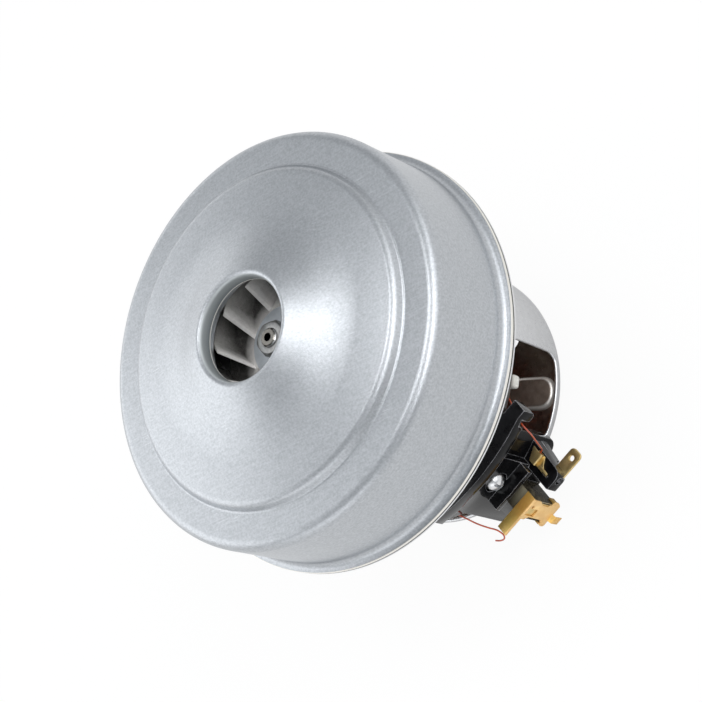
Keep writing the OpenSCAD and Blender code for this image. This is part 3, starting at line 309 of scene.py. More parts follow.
def tintNeck(finish):
    tree, look = finish["tree"], neckTint
    split = axisOf(tree, finish["place"])
    out = fromAxis(tree, split)
    clear = spread(tree, out, 0, 1, look["radius"], look["radius"] + look["blur"])
    inner = blendTone(tree, spread(tree, split["Z"], 0, 1, *look["fade"]), look["shadeTone"], look["tone"])
    inner = blendTone(tree, sums(tree, "LESS_THAN", split["Z"], look["cut"]), inner, look["bright"])
    dulled = blendTone(tree, clear, inner, finish["tone"])
    setTone(finish, blendTone(tree, sums(tree, "GREATER_THAN", out, look["rim"]), dulled, look["bright"]))
    tree.links.new(spread(tree, clear, look["metal"], 1), finish["shader"].inputs["Metallic"])


tintNeck(finishes["coverSteel"])


# painted shade darkens the fan's eye
eyeShade = {"radius": 17.2 * mm, "blur": 1.2 * mm, "tone": (0.05, 0.05, 0.052)}


def shadeEye(finish):
    tree = finish["tree"]
    out = fromAxis(tree, axisOf(tree, finish["place"]))
    clear = spread(tree, out, 0, 1, eyeShade["radius"], eyeShade["radius"] + eyeShade["blur"])
    setTone(finish, blendTone(tree, clear, eyeShade["tone"], finish["tone"]))


shadeEye(finishes["fanAluminium"])


# painted highlights: the beads' flanks are painted bright
beadTint = {"low": 11.9 * mm, "high": 12.15 * mm, "bright": (0.9, 0.87, 0.83)}


def tintBeads(finish):
    tree = finish["tree"]
    height = spread(tree, axisOf(tree, finish["place"])["Z"], 0, 1, beadTint["low"], beadTint["high"])
    setTone(finish, blendTone(tree, height, beadTint["bright"], finish["tone"]))


tintBeads(finishes["beadSteel"])


# the shaft's end: painted shade down its centre hole, straw coloured round it
shaftTint = {"hole": 1.35 * mm, "end": 106 * mm, "dark": (0.012, 0.011, 0.01), "straw": (0.31, 0.295, 0.27)}


def tintShaft(finish):
    tree = finish["tree"]
    split = axisOf(tree, finish["place"])
    atEnd = sums(tree, "GREATER_THAN", split["Z"], shaftTint["end"])
    end = blendTone(tree, atEnd, finish["tone"], shaftTint["straw"])
    hole = sums(tree, "LESS_THAN", fromAxis(tree, split), shaftTint["hole"])
    setTone(finish, blendTone(tree, hole, end, shaftTint["dark"]))


tintShaft(finishes["bearingSteel"])


# the inducer's hub is painted pale as painted light, and painted shade greys its vanes lower down, towards
# their roots
vaneTint = {"hub": 13.6 * mm, "vane": 18.6 * mm, "low": 97 * mm, "high": 109 * mm,
            "shadeTone": (0.06, 0.058, 0.055), "hubLight": (0.88, 0.86, 0.84), "streak": 1.5 * mm, "streakBy": 0.06}


def tintVanes(finish):
    tree, place = finish["tree"], finish["place"]
    split = axisOf(tree, place)
    height = spread(tree, split["Z"], 0, 1, vaneTint["low"], vaneTint["high"])
    vanes = blendTone(tree, height, vaneTint["shadeTone"], finish["tone"])
    outward = spread(tree, fromAxis(tree, split), 0, 1, vaneTint["hub"], vaneTint["vane"])
    line = noiseAt(tree, place, vaneTint["streak"], 3)
    streak = spread(tree, line, -vaneTint["streakBy"], vaneTint["streakBy"])
    setTone(finish, blendTone(tree, sums(tree, "ADD", outward, streak), vaneTint["hubLight"], vanes))


tintVanes(finishes["inducerPlastic"])


# painted light and shade: the tube's top goes from a lit tone at one edge to painted shade at the other, and
# its sides take mottled painted shade
tubeTint = {"topLit": (0.42, 0.38, 0.27), "dull": (0.035, 0.031, 0.022), "from": -4.2 * mm, "to": 3.6 * mm,
            "side": 3.72 * mm, "mottle": 2 * mm, "mottleBy": (0.75, 1)}


def tintTube(finish):
    tree = finish["tree"]
    split = axisOf(tree, finish["place"])
    across = sums(tree, "MULTIPLY", split["Y"], sums(tree, "SIGN", split["X"], 0))
    share = spread(tree, across, 0, 1, tubeTint["from"], tubeTint["to"])
    topLit = blendTone(tree, share, tubeTint["dull"], tubeTint["topLit"])
    side = sums(tree, "GREATER_THAN", sums(tree, "ABSOLUTE", split["Y"], 0), tubeTint["side"])
    mottle = spread(tree, noiseAt(tree, finish["place"], tubeTint["mottle"], 4), *tubeTint["mottleBy"])
    setTone(finish, blendTone(tree, sums(tree, "MULTIPLY", side, mottle), topLit, tubeTint["dull"]))


tintTube(finishes["tubeBrass"])


# painted highlights: mouldings and pressings are painted pale along their edges, in patches
edgeHighlightLook = {"bakelite": {"tone": (0.55, 0.55, 0.58), "reach": 0.7 * mm, "from": 0.05, "to": 0.22},
           "tubeBrass": {"tone": (0.62, 0.56, 0.42), "reach": 0.2 * mm, "from": 0.03, "to": 0.25}}
edgeHighlightPatch = {"samples": 8, "size": 2.5 * mm, "least": 0.2}


def paintEdgeHighlights(finish, look):
    tree = finish["tree"]
    soft = tree.nodes.new("ShaderNodeBevel")
    soft.samples = edgeHighlightPatch["samples"]
    soft.inputs["Radius"].default_value = look["reach"]
    flat = tree.nodes.new("ShaderNodeNewGeometry")
    turn = tree.nodes.new("ShaderNodeVectorMath")
    turn.operation = "DOT_PRODUCT"
    tree.links.new(soft.outputs["Normal"], turn.inputs[0])
    tree.links.new(flat.outputs["Normal"], turn.inputs[1])
    edge = spread(tree, sums(tree, "SUBTRACT", 1, turn.outputs["Value"]), 0, 1, look["from"], look["to"])
    patch = spread(tree, noiseAt(tree, finish["place"], edgeHighlightPatch["size"], 3), edgeHighlightPatch["least"], 1)
    setTone(finish, blendTone(tree, sums(tree, "MULTIPLY", edge, patch), finish["tone"], look["tone"]))


for name, look in edgeHighlightLook.items():
    paintEdgeHighlights(finishes[name], look)


# the mouldings have a polished skin, dull beyond their middle on the faces towards the fan and outwards
skinLook = {"polished": 1, "dull": 0.08, "facing": (0.5, 0.85), "along": (-7 * mm, 1 * mm)}


def skinMoulding(finish):
    tree = finish["tree"]
    face = tree.nodes.new("ShaderNodeNewGeometry")
    split, normal = axisOf(tree, finish["place"]), axisOf(tree, face.outputs["Normal"])
    half = sums(tree, "SIGN", split["X"], 0)
    outward = sums(tree, "MULTIPLY", normal["X"], half)
    facing = spread(tree, sums(tree, "MAXIMUM", normal["Z"], outward), 0, 1, *skinLook["facing"])
    along = sums(tree, "MULTIPLY", split["Y"], half)
    worn = sums(tree, "MULTIPLY", facing, spread(tree, along, 0, 1, *skinLook["along"]))
    skin = spread(tree, worn, skinLook["polished"], skinLook["dull"], 0, 1)
    tree.links.new(skin, finish["shader"].inputs["Coat Weight"])


skinMoulding(finishes["bakelite"])

# which finish each material slot shows, and which slot each node has
slotFinish = {
    "cover_steel": "coverSteel", "can_steel": "canSteel", "bracket_steel": "bracketSteel",
    "screw_steel": "screwSteel", "bearing_steel": "bearingSteel", "spring_steel": "springSteel",
    "lamination": "lamination", "copper": "copper", "enamel_wire": "enamelWire", "cap_copper": "capCopper",
    "brass": "brass", "bakelite": "bakelite", "insulator": "insulator", "carbon": "carbon",
    "phenolic": "phenolic", "diffuser_plastic": "diffuserPlastic", "inducer_plastic": "inducerPlastic",
    "fan_aluminium": "fanAluminium", "washer_steel": "washerSteel",
}
nodeSlot = {
    "fan_cover": "cover_steel", "motor_can": "can_steel", "front_bracket": "bracket_steel",
    "bracket_screws": "screw_steel", "holder_screws": "screw_steel", "diffuser": "diffuser_plastic",
    "stator_core": "lamination", "armature_core": "lamination", "armature_winding": "enamel_wire",
    "commutator_bars": "copper", "commutator_hub": "phenolic", "shaft": "bearing_steel",
    "wave_washer": "spring_steel", "impeller_spacer": "bearing_steel", "impeller_plate": "fan_aluminium",
    "impeller_blades": "fan_aluminium", "impeller_shroud": "fan_aluminium", "inducer": "inducer_plastic",
    "clamp_washer": "washer_steel", "impeller_nut": "screw_steel",
}
for side in "ab":
    nodeSlot.update({
        "field_coil_" + side: "enamel_wire", "field_winding_" + side: "enamel_wire",
        "coil_insulator_" + side: "insulator", "brush_holder_" + side: "bakelite",
        "brush_tube_" + side: "brass", "brush_cap_" + side: "cap_copper", "terminal_" + side: "brass",
        "brush_spring_" + side: "spring_steel", "carbon_brush_" + side: "carbon",
        "terminal_wire_" + side: "enamel_wire", "brush_wire_" + side: "enamel_wire",
    })
for end in ("front", "rear"):
    for piece in ("outer_ring", "inner_ring", "balls", "shields"):
        nodeSlot[end + "_" + piece] = "bearing_steel"


def paint(piece, slotName, finishName=None):
    piece.data.materials.clear()
    piece.data.materials.append(finishes[finishName or slotFinish[slotName]]["material"])


for name, node in nodes.items():
    paint(node, nodeSlot[name])
print("finishes made:", len(finishes))


# pieces: a mesh in place, on its body, standing for its nodes
def addPiece(name, mesh, body, slotName, *replaced):
    piece = bpy.data.objects.new(name, mesh)
    scene.collection.objects.link(piece)
    paint(piece, slotName)
    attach(piece, body)
    if replaced:
        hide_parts(*replaced)
    return piece


def closeMesh(name, bm, sharp=35):
    mesh = bpy.data.meshes.new(name)
    bm.to_mesh(mesh)
    bm.free()
    mesh.polygons.foreach_set("use_smooth", [True] * len(mesh.polygons))
    mesh.set_sharp_from_angle(angle=math.radians(sharp))
    return mesh


def tubeMesh(name, paths, width, sides=3, loop=False):
    line = bpy.data.curves.new(name + "Line", "CURVE")
    line.dimensions = "3D"
    line.bevel_depth = width / 2
    line.bevel_resolution = sides
    line.resolution_u = 4
    line.use_fill_caps = True
    for path in paths:
        run = line.splines.new("BEZIER")
        run.use_cyclic_u = loop
        run.bezier_points.add(len(path) - 1)
        for knot, point in zip(run.bezier_points, path):
            knot.co = point
            knot.handle_left_type = knot.handle_right_type = "AUTO"
    holder = bpy.data.objects.new(name + "Line", line)
    scene.collection.objects.link(holder)
    graph = bpy.context.evaluated_depsgraph_get()
    mesh = bpy.data.meshes.new_from_object(holder.evaluated_get(graph))
    bpy.data.objects.remove(holder)
    bm = bmesh.new()
    bm.from_mesh(mesh)
    bmesh.ops.remove_doubles(bm, verts=bm.verts, dist=weld)
    bmesh.ops.recalc_face_normals(bm, faces=bm.faces)
    return closeMesh(name, bm, 50)


def halfTurn(points, side):
    return points if side == "a" else [(-x, -y, z) for x, y, z in points]


def inMetres(points):
    return [(x * mm, y * mm, z * mm) for x, y, z in points]


def turnSide(bm, side):
    if side == "b":
        bmesh.ops.rotate(bm, verts=bm.verts, cent=(0, 0, 0), matrix=Matrix.Rotation(math.pi, 3, "Z"))


def pullOut(bm, grown, way):
    fresh = [g for g in grown["geom"] if isinstance(g, bmesh.types.BMVert)]
    bmesh.ops.translate(bm, verts=fresh, vec=way)
    bmesh.ops.recalc_face_normals(bm, faces=bm.faces)


def joinTo(whole, bm):
    part = bpy.data.meshes.new("joinPart")
    bm.to_mesh(part)
    bm.free()
    whole.from_mesh(part)
    bpy.data.meshes.remove(part)


def roundOff(bm, geom, width, segments, affect="EDGES", clamp=False):
    bmesh.ops.bevel(bm, geom=geom, offset=width, offset_type="OFFSET", affect=affect, segments=segments,
                    profile=0.5, material=-1, clamp_overlap=clamp)


# an open line through the outline's corners, each rounded to its radius
def roundedRun(bm, outline, place, arc=6):
    corners = [bm.verts.new(place(a, b)) for a, b, _ in outline]
    for a, b in zip(corners, corners[1:]):
        bm.edges.new((a, b))
    for i in range(1, len(corners) - 1):
        before, here, after = (Vector(outline[k][:2]) for k in (i - 1, i, i + 1))
        turn = (here - before).angle(after - here)
        if outline[i][2]:
            roundOff(bm, [corners[i]], outline[i][2] * math.tan(turn / 2) * mm, arc, "VERTICES")


def widenRun(bm, y0, y1):
    grown = bmesh.ops.extrude_edge_only(bm, edges=bm.edges[:])
    pullOut(bm, grown, (0, (y1 - y0) * mm, 0))


def cutBy(mesh, low, high):
    cutter = bmesh.new()
    boxBetween(cutter, low, high)
    tool = bpy.data.objects.new("cutTool", closeMesh("cutTool", cutter))
    blank = bpy.data.objects.new("cutBlank", mesh)
    scene.collection.objects.link(tool)
    scene.collection.objects.link(blank)
    cut = blank.modifiers.new("cut", "BOOLEAN")
    cut.object = tool
    graph = bpy.context.evaluated_depsgraph_get()
    done = bpy.data.meshes.new_from_object(blank.evaluated_get(graph))
    bpy.data.objects.remove(tool)
    bpy.data.objects.remove(blank)
    return done


def boxBetween(bm, low, high):
    low, high = Vector(low) * mm, Vector(high) * mm
    middle, size = (low + high) / 2, [abs(v) for v in high - low]
    bmesh.ops.create_cube(bm, size=1, matrix=Matrix.Translation(middle) @ Matrix.Diagonal((*size, 1)))


def softenEdges(bm, width, segments=2, angle=40):
    edges = [e for e in bm.edges if len(e.link_faces) == 2 and e.calc_face_angle(0) > math.radians(angle)]
    roundOff(bm, edges, width, segments, clamp=True)


# a copy of a node with broken edges, less broken where that would eat into its volume
copyLook = {"shares": (1, 0.6, 0.3), "weld": 0.005 * mm, "weldAfter": 0.003 * mm, "flat": 1.5,
            "volume": 0.06}


def roundedCopy(name, nodeName, width, segments=2, angle=28, sharp=40, cut=None):
    for share in copyLook["shares"]:
        bm = bmesh.new()
        bm.from_mesh(nodes[nodeName].data)
        bmesh.ops.remove_doubles(bm, verts=bm.verts, dist=copyLook["weld"])
        if cut:
            blank = cutBy(closeMesh(name + "Blank", bm), *cut)
            bm = bmesh.new()
            bm.from_mesh(blank)
        flat = math.radians(copyLook["flat"])
        bmesh.ops.dissolve_limit(bm, angle_limit=flat, verts=bm.verts, edges=bm.edges)
        before = abs(bm.calc_volume())
        softenEdges(bm, width * share, segments, angle)
        bmesh.ops.remove_doubles(bm, verts=bm.verts, dist=copyLook["weldAfter"])
        after = abs(bm.calc_volume())
        if abs(after / before - 1) < copyLook["volume"]:
            break
        bm.free()
    kept = round(after / before, 3)
    print("rounded", nodeName, "at", round(width * share / mm, 3), "mm, volume kept", kept)
    return closeMesh(name, bm, sharp)


# fan cover: one pressed sheet, spun from its outline
coverLook = {"sheet": 1 * mm, "steps": 200, "arc": 10, "outline": [
    (67.5, 76, 0), (64.6, 76, 2.8), (64.6, 108.3, 3.6), (53.2, 108.3, 1), (51.5, 111.1, 2.9),
    (33, 113.2, 60), (16.2, 119.5, 1.6), (15.9, 114.4, 0)]}


def makeCover():
    bm = bmesh.new()
    roundedRun(bm, coverLook["outline"], lambda r, z: (r * mm, 0, z * mm), coverLook["arc"])
    bmesh.ops.spin(bm, geom=bm.verts[:] + bm.edges[:], cent=(0, 0, 0), axis=(0, 0, 1), dvec=(0, 0, 0),
                   angle=2 * math.pi, steps=coverLook["steps"], use_merge=True, use_duplicate=False)
    bmesh.ops.remove_doubles(bm, verts=bm.verts, dist=weld)
    bmesh.ops.recalc_face_normals(bm, faces=bm.faces)
    wall = max(bm.faces, key=lambda f: f.calc_center_median().to_2d().length)
    if wall.normal.z < 0:
        bmesh.ops.reverse_faces(bm, faces=bm.faces)
    bmesh.ops.solidify(bm, geom=bm.faces[:], thickness=coverLook["sheet"])
    return addPiece("coverShell", closeMesh("coverShell", bm, 50), "housing", "cover_steel", "fan_cover")


makeCover()
print("cover spun")


# short leads from the field turns to the terminal and to the brush cap
leadLook = {"width": 0.54 * mm, "sides": 3, "terminal": [
    (23.8, 21.4, 35), (27, 22.4, 35.8), (31, 23, 36.6), (35.1, 23, 37.1), (38.1, 22.9, 38.3),
    (40.4, 22.6, 40), (42.6, 22.4, 41.2), (46, 22.4, 41.5), (48.6, 22.2, 41.2), (50, 21.8, 39.6),
    (50, 20.6, 36), (49.8, 18.8, 31), (49.2, 17.4, 27), (48.7, 16.7, 25), (48.5, 15.9, 24),
    (48.5, 12.6, 24)], "brush": [
    (23.8, -21.4, 35), (30, -22.6, 35.2), (36, -22, 35.3), (41, -19.8, 35), (45.4, -16.6, 34.6),
    (48.8, -15.2, 33), (52, -14.2, 30.6), (54.6, -13, 27.6), (56, -12.2, 25.8), (57, -12.1, 24.4),
    (58, -12.3, 23.4), (58.4, -13.2, 22.6), (57.8, -14.6, 22.4), (56.4, -16, 22.4)]}
for side in "ab":
    for end in ("terminal", "brush"):
        name = end + "Lead_" + side
        path = inMetres(halfTurn(leadLook[end], side))
        lead = tubeMesh(name, [path], leadLook["width"], leadLook["sides"])
        addPiece(name, lead, "housing", "enamel_wire", end + "_wire_" + side)


# brush springs: a wire ring carried along its own helix
springLook = {"wire": 0.7 * mm, "radius": 2.65 * mm, "start": 37.68 * mm, "end": 58.5 * mm, "curls": 9,
              "steps": 28, "sides": 10, "axisZ": 18 * mm, "fixed": 58.6 * mm, "keep": 0.712}
for side in "ab":
    way = 1 if side == "a" else -1
    bm = bmesh.new()
    spot = Matrix.Translation((way * (springLook["start"] + springLook["wire"] / 2), 0,
                               springLook["axisZ"] + springLook["radius"]))
    ring = bmesh.ops.create_circle(bm, cap_ends=False, radius=springLook["wire"] / 2,
                                   segments=springLook["sides"],
                                   matrix=spot @ Matrix.Rotation(math.radians(90), 4, "X"))
    total = springLook["curls"] * springLook["steps"]
    advance = (springLook["end"] - springLook["start"] - springLook["wire"]) / total
    bmesh.ops.spin(bm, geom=ring["verts"] + bm.edges[:], cent=(0, 0, springLook["axisZ"]), axis=(1, 0, 0),
                   dvec=(way * advance, 0, 0), angle=springLook["curls"] * 2 * math.pi, steps=total,
                   use_merge=False)
    bmesh.ops.holes_fill(bm, edges=[e for e in bm.edges if e.is_boundary], sides=0)
    bmesh.ops.recalc_face_normals(bm, faces=bm.faces)
    name = "brushSpring_" + side
    spring = addPiece(name, closeMesh(name, bm, 60), "housing", "spring_steel", "brush_spring_" + side)
    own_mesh(spring)
print("leads and springs made")


# field coils: layers of turns wound one on the other, the top layer being the CAD winding's own run
coilLook = {"angle": 47, "rear": 30.7, "front": 65.3, "layers": [33.77, 32.55, 31.3, 30.1, 28.9, 27.7],
            "wire": 1.18, "topWire": 0.8, "pitch": 1.3, "loops": 5, "steps": 32, "inset": 0.4, "square": 1.9}


def swing(t):
    return max(-1, min(1, coilLook["square"] * (1 - 4 * abs(t - math.floor(t) - 0.5))))


def coilRun(radius, turnTo):
    path = []
    middle = (coilLook["front"] + coilLook["rear"]) / 2
    half = (coilLook["front"] - coilLook["rear"]) / 2
    for i in range(coilLook["loops"] * coilLook["steps"] + 1):
        t = (i + 0.5) / coilLook["steps"]
        inset = coilLook["inset"] + coilLook["pitch"] * t
        around = (radius * math.radians(coilLook["angle"]) - inset) * swing(t) / radius + turnTo
        z = middle + (half - inset) * swing(t + 0.25)
        path.append((radius * math.cos(around) * mm, radius * math.sin(around) * mm, z * mm))
    return path


for side, turnTo in (("a", math.radians(90)), ("b", math.radians(-90))):
    top, *lower = coilLook["layers"]
    name = "fieldTurns_" + side
    turns = tubeMesh(name, [coilRun(top, turnTo)], coilLook["topWire"] * mm, 2)
    addPiece(name, turns, "housing", "enamel_wire", "field_winding_" + side)
    name = "fieldBundle_" + side
    turns = tubeMesh(name, [coilRun(r, turnTo) for r in lower], coilLook["wire"] * mm, 1)
    addPiece(name, turns, "housing", "enamel_wire", "field_coil_" + side)


# white ears at the rear corners of the coil frames, where the leads leave
earLook = {"angles": (43.5, 136.5, 223.5, 316.5), "size": (5.4, 4.4, 3.6), "radius": 35.6, "middle": 28.9,
           "edge": 1.1, "arc": 4}
bm = bmesh.new()
for angle in earLook["angles"]:
    spot = Matrix.Rotation(math.radians(angle), 4, "Z")
    spot = spot @ Matrix.Translation((earLook["radius"] * mm, 0, earLook["middle"] * mm))
    bmesh.ops.create_cube(bm, size=1, matrix=spot @ Matrix.Diagonal((*(v * mm for v in earLook["size"]), 1)))
softenEdges(bm, earLook["edge"] * mm, earLook["arc"])
addPiece("coilEars", closeMesh("coilEars", bm), "housing", "insulator")

# soft crowns on the rear wall's beads
beadLook = {"angles": (43.2, 136.8, 223.2, 316.8), "middle": 32, "length": 18.8, "width": 11.4, "foot": 10,
            "top": 12.3, "edge": 2.1, "round": 0.98, "endArc": 10, "edgeArc": 5}
bm = bmesh.new()
for angle in beadLook["angles"]:
    one = bmesh.new()
    half, reach, middle = beadLook["width"] / 2, beadLook["length"] / 2, beadLook["middle"]
    boxBetween(one, (middle - reach, -half, beadLook["foot"]), (middle + reach, half, beadLook["top"]))
    upright = [e for e in one.edges if abs(e.verts[0].co.z - e.verts[1].co.z) > 0.1 * mm]
    roundOff(one, upright, half * beadLook["round"] * mm, beadLook["endArc"])
    crown = [e for e in one.edges if min(v.co.z for v in e.verts) > (beadLook["top"] - 0.01) * mm]
    rim = [e for e in crown if len(e.link_faces) == 2 and e.calc_face_angle(0) > 1]
    roundOff(one, rim, beadLook["edge"] * mm, beadLook["edgeArc"])
    turn = Matrix.Rotation(math.radians(angle), 3, "Z")
    bmesh.ops.rotate(one, verts=one.verts, cent=(0, 0, 0), matrix=turn)
    joinTo(bm, one)
paint(addPiece("wallBeads", closeMesh("wallBeads", bm, 60), "housing", "can_steel"), "can_steel", "beadSteel")

# the punched windows' edges, rolled smooth
windowLook = {"angles": (40, -40, 140, 220), "radius": 43.1, "half": 15.1, "low": 13.25, "high": 42.55,
              "corner": 4.1, "edge": 1.16, "arc": 7}


def windowRun(angle):
    half, corner = windowLook["half"] - windowLook["corner"], windowLook["corner"]
    top, foot = windowLook["high"] - corner, windowLook["low"] + corner
    flat = []
    for across, z, start in ((half, top, 0), (-half, top, 90), (-half, foot, 180), (half, foot, 270)):
        for k in range(windowLook["arc"]):
            a = math.radians(start + 90 * k / (windowLook["arc"] - 1))
            flat.append((across + corner * math.cos(a), z + corner * math.sin(a)))
        if start in (0, 180):   # the long edges follow the can's round
            step = -2 * across / (windowLook["arc"] + 1)
            flat += [(across + step * (k + 1), flat[-1][1]) for k in range(windowLook["arc"])]
    turn = Matrix.Rotation(math.radians(angle), 3, "Z")
    return [turn @ Vector((math.sqrt(windowLook["radius"] ** 2 - y * y), y, z)) * mm for y, z in flat]


runs = [windowRun(a) for a in windowLook["angles"]]
edges = tubeMesh("windowEdges", runs, windowLook["edge"] * mm, 3, loop=True)
addPiece("windowEdges", edges, "housing", "can_steel")


# armature: end turns laid over each other from slot to slot, at both ends of the stack
headLook = {"inner": 7.2, "outer": 16.9, "height": 6.9, "wire": 1.3, "turns": 36, "sweep": 78,
            "front": 58.15, "rear": 37.85, "steps": 12, "arch": 0.45, "foot": 0.2, "spare": 0.9, "shift": 5,
            "under": 1.3}


def headRun(start, base, up, lift):
    path = []
    depth = headLook["outer"] - headLook["inner"]
    rise = headLook["height"] - headLook["spare"] - lift
    for k in range(headLook["steps"] + 1):
        share = k / headLook["steps"]
        arch = math.sin(math.pi * share) ** headLook["arch"]
        across = headLook["outer"] - lift - depth * (1 - math.cos(math.pi * share)) / 2
        a = start + math.radians(headLook["sweep"]) * share
        z = base + up * (headLook["foot"] + rise * arch)
        path.append((across * math.cos(a) * mm, across * math.sin(a) * mm, z * mm))
    return path


runs = []
for base, up in ((headLook["front"], 1), (headLook["rear"], -1)):
    for k in range(headLook["turns"]):
        start = math.radians(360 * k / headLook["turns"])
        runs.append(headRun(start, base, up, 0))
        runs.append(headRun(start + math.radians(headLook["shift"]), base, up, headLook["under"]))
turns = tubeMesh("armatureTurns", runs, headLook["wire"] * mm, 1)
addPiece("armatureTurns", turns, "rotor", "enamel_wire", "armature_winding")
print("windings made")


# behind the cap's punched window lies the spring's seat, and its rear lug is bent outwards
capLook = {"window": [(58, -2.3, 19.3), (60, 0.6, 23.9)], "seat": [(58.42, -3.1, 12.8), (58.56, 3.1, 23.2)],
           "lug": [(58.9, 12.4, 0), (59.15, 10.6, 1.2), (60.3, 9.9, 0.9), (60.0, 5.9, 0)],
           "lugY": (-2.4, 0.4), "lugSheet": 0.4, "seatEdge": 0.04, "lugEdge": 0.08}
for side in "ab":
    bm = bmesh.new()
    boxBetween(bm, *capLook["seat"])
    softenEdges(bm, capLook["seatEdge"] * mm)
    turnSide(bm, side)
    name = "springSeat_" + side
    addPiece(name, closeMesh(name, bm), "housing", "brass")
    bm = bmesh.new()
    y0, y1 = capLook["lugY"]
    roundedRun(bm, capLook["lug"], lambda x, z: (x * mm, y0 * mm, z * mm))
    widenRun(bm, y0, y1)
    bmesh.ops.solidify(bm, geom=bm.faces[:], thickness=capLook["lugSheet"] * mm)
    softenEdges(bm, capLook["lugEdge"] * mm)
    turnSide(bm, side)
    name = "capLug_" + side
    # the lug takes the more golden copper, a painted highlight on its bend
    paint(addPiece(name, closeMesh(name, bm), "housing", "cap_copper"), "cap_copper", "lugHighlightGold")


# moulded and pressed pieces keep their CAD shape with their edges broken
mouldLook = {"brush_holder": ("holderMoulding", 0.16), "brush_cap": ("capSpringPlate", 0.12),
             "brush_tube": ("brushTube", 0.2)}
for side in "ab":
    for kind, (pieceName, width) in mouldLook.items():
        nodeName = kind + "_" + side
        name = pieceName + "_" + side
        cut = halfTurn(capLook["window"], side) if kind == "brush_cap" else None
        moulding = roundedCopy(name, nodeName, width * mm, cut=cut)
        piece = addPiece(name, moulding, "housing", nodeSlot[nodeName], nodeName)
        if kind == "brush_tube":
            paint(piece, "brass", "tubeBrass")

# the holders' screws have high round heads
screwLook = {"edge": 0.12 * mm, "seat": 46 * mm, "dome": 1.4}
screws = roundedCopy("holderScrews", "holder_screws", screwLook["edge"], angle=35)
for corner in screws.vertices:
    past = abs(corner.co.x) - screwLook["seat"]
    if past > 0:
        corner.co.x = math.copysign(screwLook["seat"] + past * screwLook["dome"], corner.co.x)
addPiece("holderScrews", screws, "housing", "screw_steel", "holder_screws")

# inducer and nut
fanLook = {"vaneEdge": 0.3 * mm, "nutEdge": 0.3 * mm, "nutArc": 3}
vanes = roundedCopy("inducerVanes", "inducer", fanLook["vaneEdge"])
addPiece("inducerVanes", vanes, "rotor", "inducer_plastic", "inducer")
nut = roundedCopy("lockNut", "impeller_nut", fanLook["nutEdge"], fanLook["nutArc"])
paint(addPiece("lockNut", nut, "rotor", "screw_steel", "impeller_nut"), "screw_steel", "nutSteel")
print("mouldings rounded")


# terminal: a tab with an eye, a riser through the block, and a strip whose neck folds over the lead
terminalLook = {
    "tabFrom": (53.4, 11.1), "tabTo": (58.2, 23.4), "tabZ": (18.6, 19.4), "tip": 1.5,
    "eye": (55.8, 20.4, 0.95), "riser": ((53.4, 11.1, 19), (55.4, 11.6, 23.6)),
    "strip": ((48, 11.1, 23.1), (55.4, 12.3, 23.6)),
    "fold": [(47.4, 23.12, 0), (50.4, 23.12, 0.5), (50.4, 24.95, 0.55), (47.6, 25.15, 3), (45.4, 24.7, 0)],
    "neck": [(49.9, 11.1), (53.4, 11.1), (53.2, 12.3), (52.2, 13.1), (50.7, 15.3), (49.9, 15.3)],
    "neckZ": (23.1, 23.55), "foldY": (11.1, 15.3), "leaf": 0.4, "cut": ((48, 11.1), (45.5, 15.3)),
    "edge": 0.1, "tipArc": 6, "eyeArc": 24,
}


def makeTab(bm):
    (x0, y0), (x1, y1) = terminalLook["tabFrom"], terminalLook["tabTo"]
    low, high = terminalLook["tabZ"]
    outline = ((x0, y0), (x1, y0), (x1, y1), (x0, y1))
    corners = [bm.verts.new((x * mm, y * mm, low * mm)) for x, y in outline]
    for a, b in zip(corners, corners[1:] + corners[:1]):
        bm.edges.new((a, b))
    roundOff(bm, corners[2:], terminalLook["tip"] * mm, terminalLook["tipArc"], "VERTICES")
    x, y, r = terminalLook["eye"]
    bmesh.ops.create_circle(bm, cap_ends=False, radius=r * mm, segments=terminalLook["eyeArc"],
                            matrix=Matrix.Translation((x * mm, y * mm, low * mm)))
    sheet = bmesh.ops.triangle_fill(bm, edges=bm.edges[:], use_beauty=True)
    faces = [g for g in sheet["geom"] if isinstance(g, bmesh.types.BMFace)]
    grown = bmesh.ops.extrude_face_region(bm, geom=faces)
    pullOut(bm, grown, (0, 0, (high - low) * mm))


def makeNeck(bm):
    low, high = terminalLook["neckZ"]
    corners = [bm.verts.new((x * mm, y * mm, low * mm)) for x, y in terminalLook["neck"]]
    plate = bmesh.ops.contextual_create(bm, geom=corners)
    grown = bmesh.ops.extrude_face_region(bm, geom=plate["faces"])
    pullOut(bm, grown, (0, 0, (high - low) * mm))


def makeFold(bm):
    y0, y1 = terminalLook["foldY"]
    roundedRun(bm, terminalLook["fold"], lambda x, z: (x * mm, y0 * mm, z * mm))
    widenRun(bm, y0, y1)
    (xa, ya), (xb, yb) = terminalLook["cut"]
    away = Vector((yb - ya, -(xb - xa), 0)).normalized()
    bmesh.ops.bisect_plane(bm, geom=bm.verts[:] + bm.edges[:] + bm.faces[:], plane_co=(xa * mm, ya * mm, 0),
                           plane_no=-away if away.x > 0 else away, clear_outer=True)
    bmesh.ops.recalc_face_normals(bm, faces=bm.faces)
    bmesh.ops.solidify(bm, geom=bm.faces[:], thickness=terminalLook["leaf"] * mm)


def makeTerminal(side):
    whole = bmesh.new()
    makers = {"tab": makeTab, "riser": None, "strip": None, "neck": makeNeck, "fold": makeFold}
    for shape, maker in makers.items():
        bm = bmesh.new()
        if maker:
            maker(bm)
        else:
            boxBetween(bm, *terminalLook[shape])
        softenEdges(bm, terminalLook["edge"] * mm)
        joinTo(whole, bm)
    turnSide(whole, side)
    name = "terminalTab_" + side
    addPiece(name, closeMesh(name, whole, 45), "housing", "brass", "terminal_" + side)


for side in "ab":
    makeTerminal(side)
print("terminals bent")


# stage: pale floor, soft boxes round the motor, camera where the photograph was taken
stageLook = {"floorTone": (0.92, 0.92, 0.92), "floorGlow": 0.92, "shade": 0.08, "world": 0.55, "size": 6,
             "wall": 1.5, "sky": (0.95, 0.975, 1), "rough": 0.9, "samples": 8, "aim": (0, 0, 0.08)}


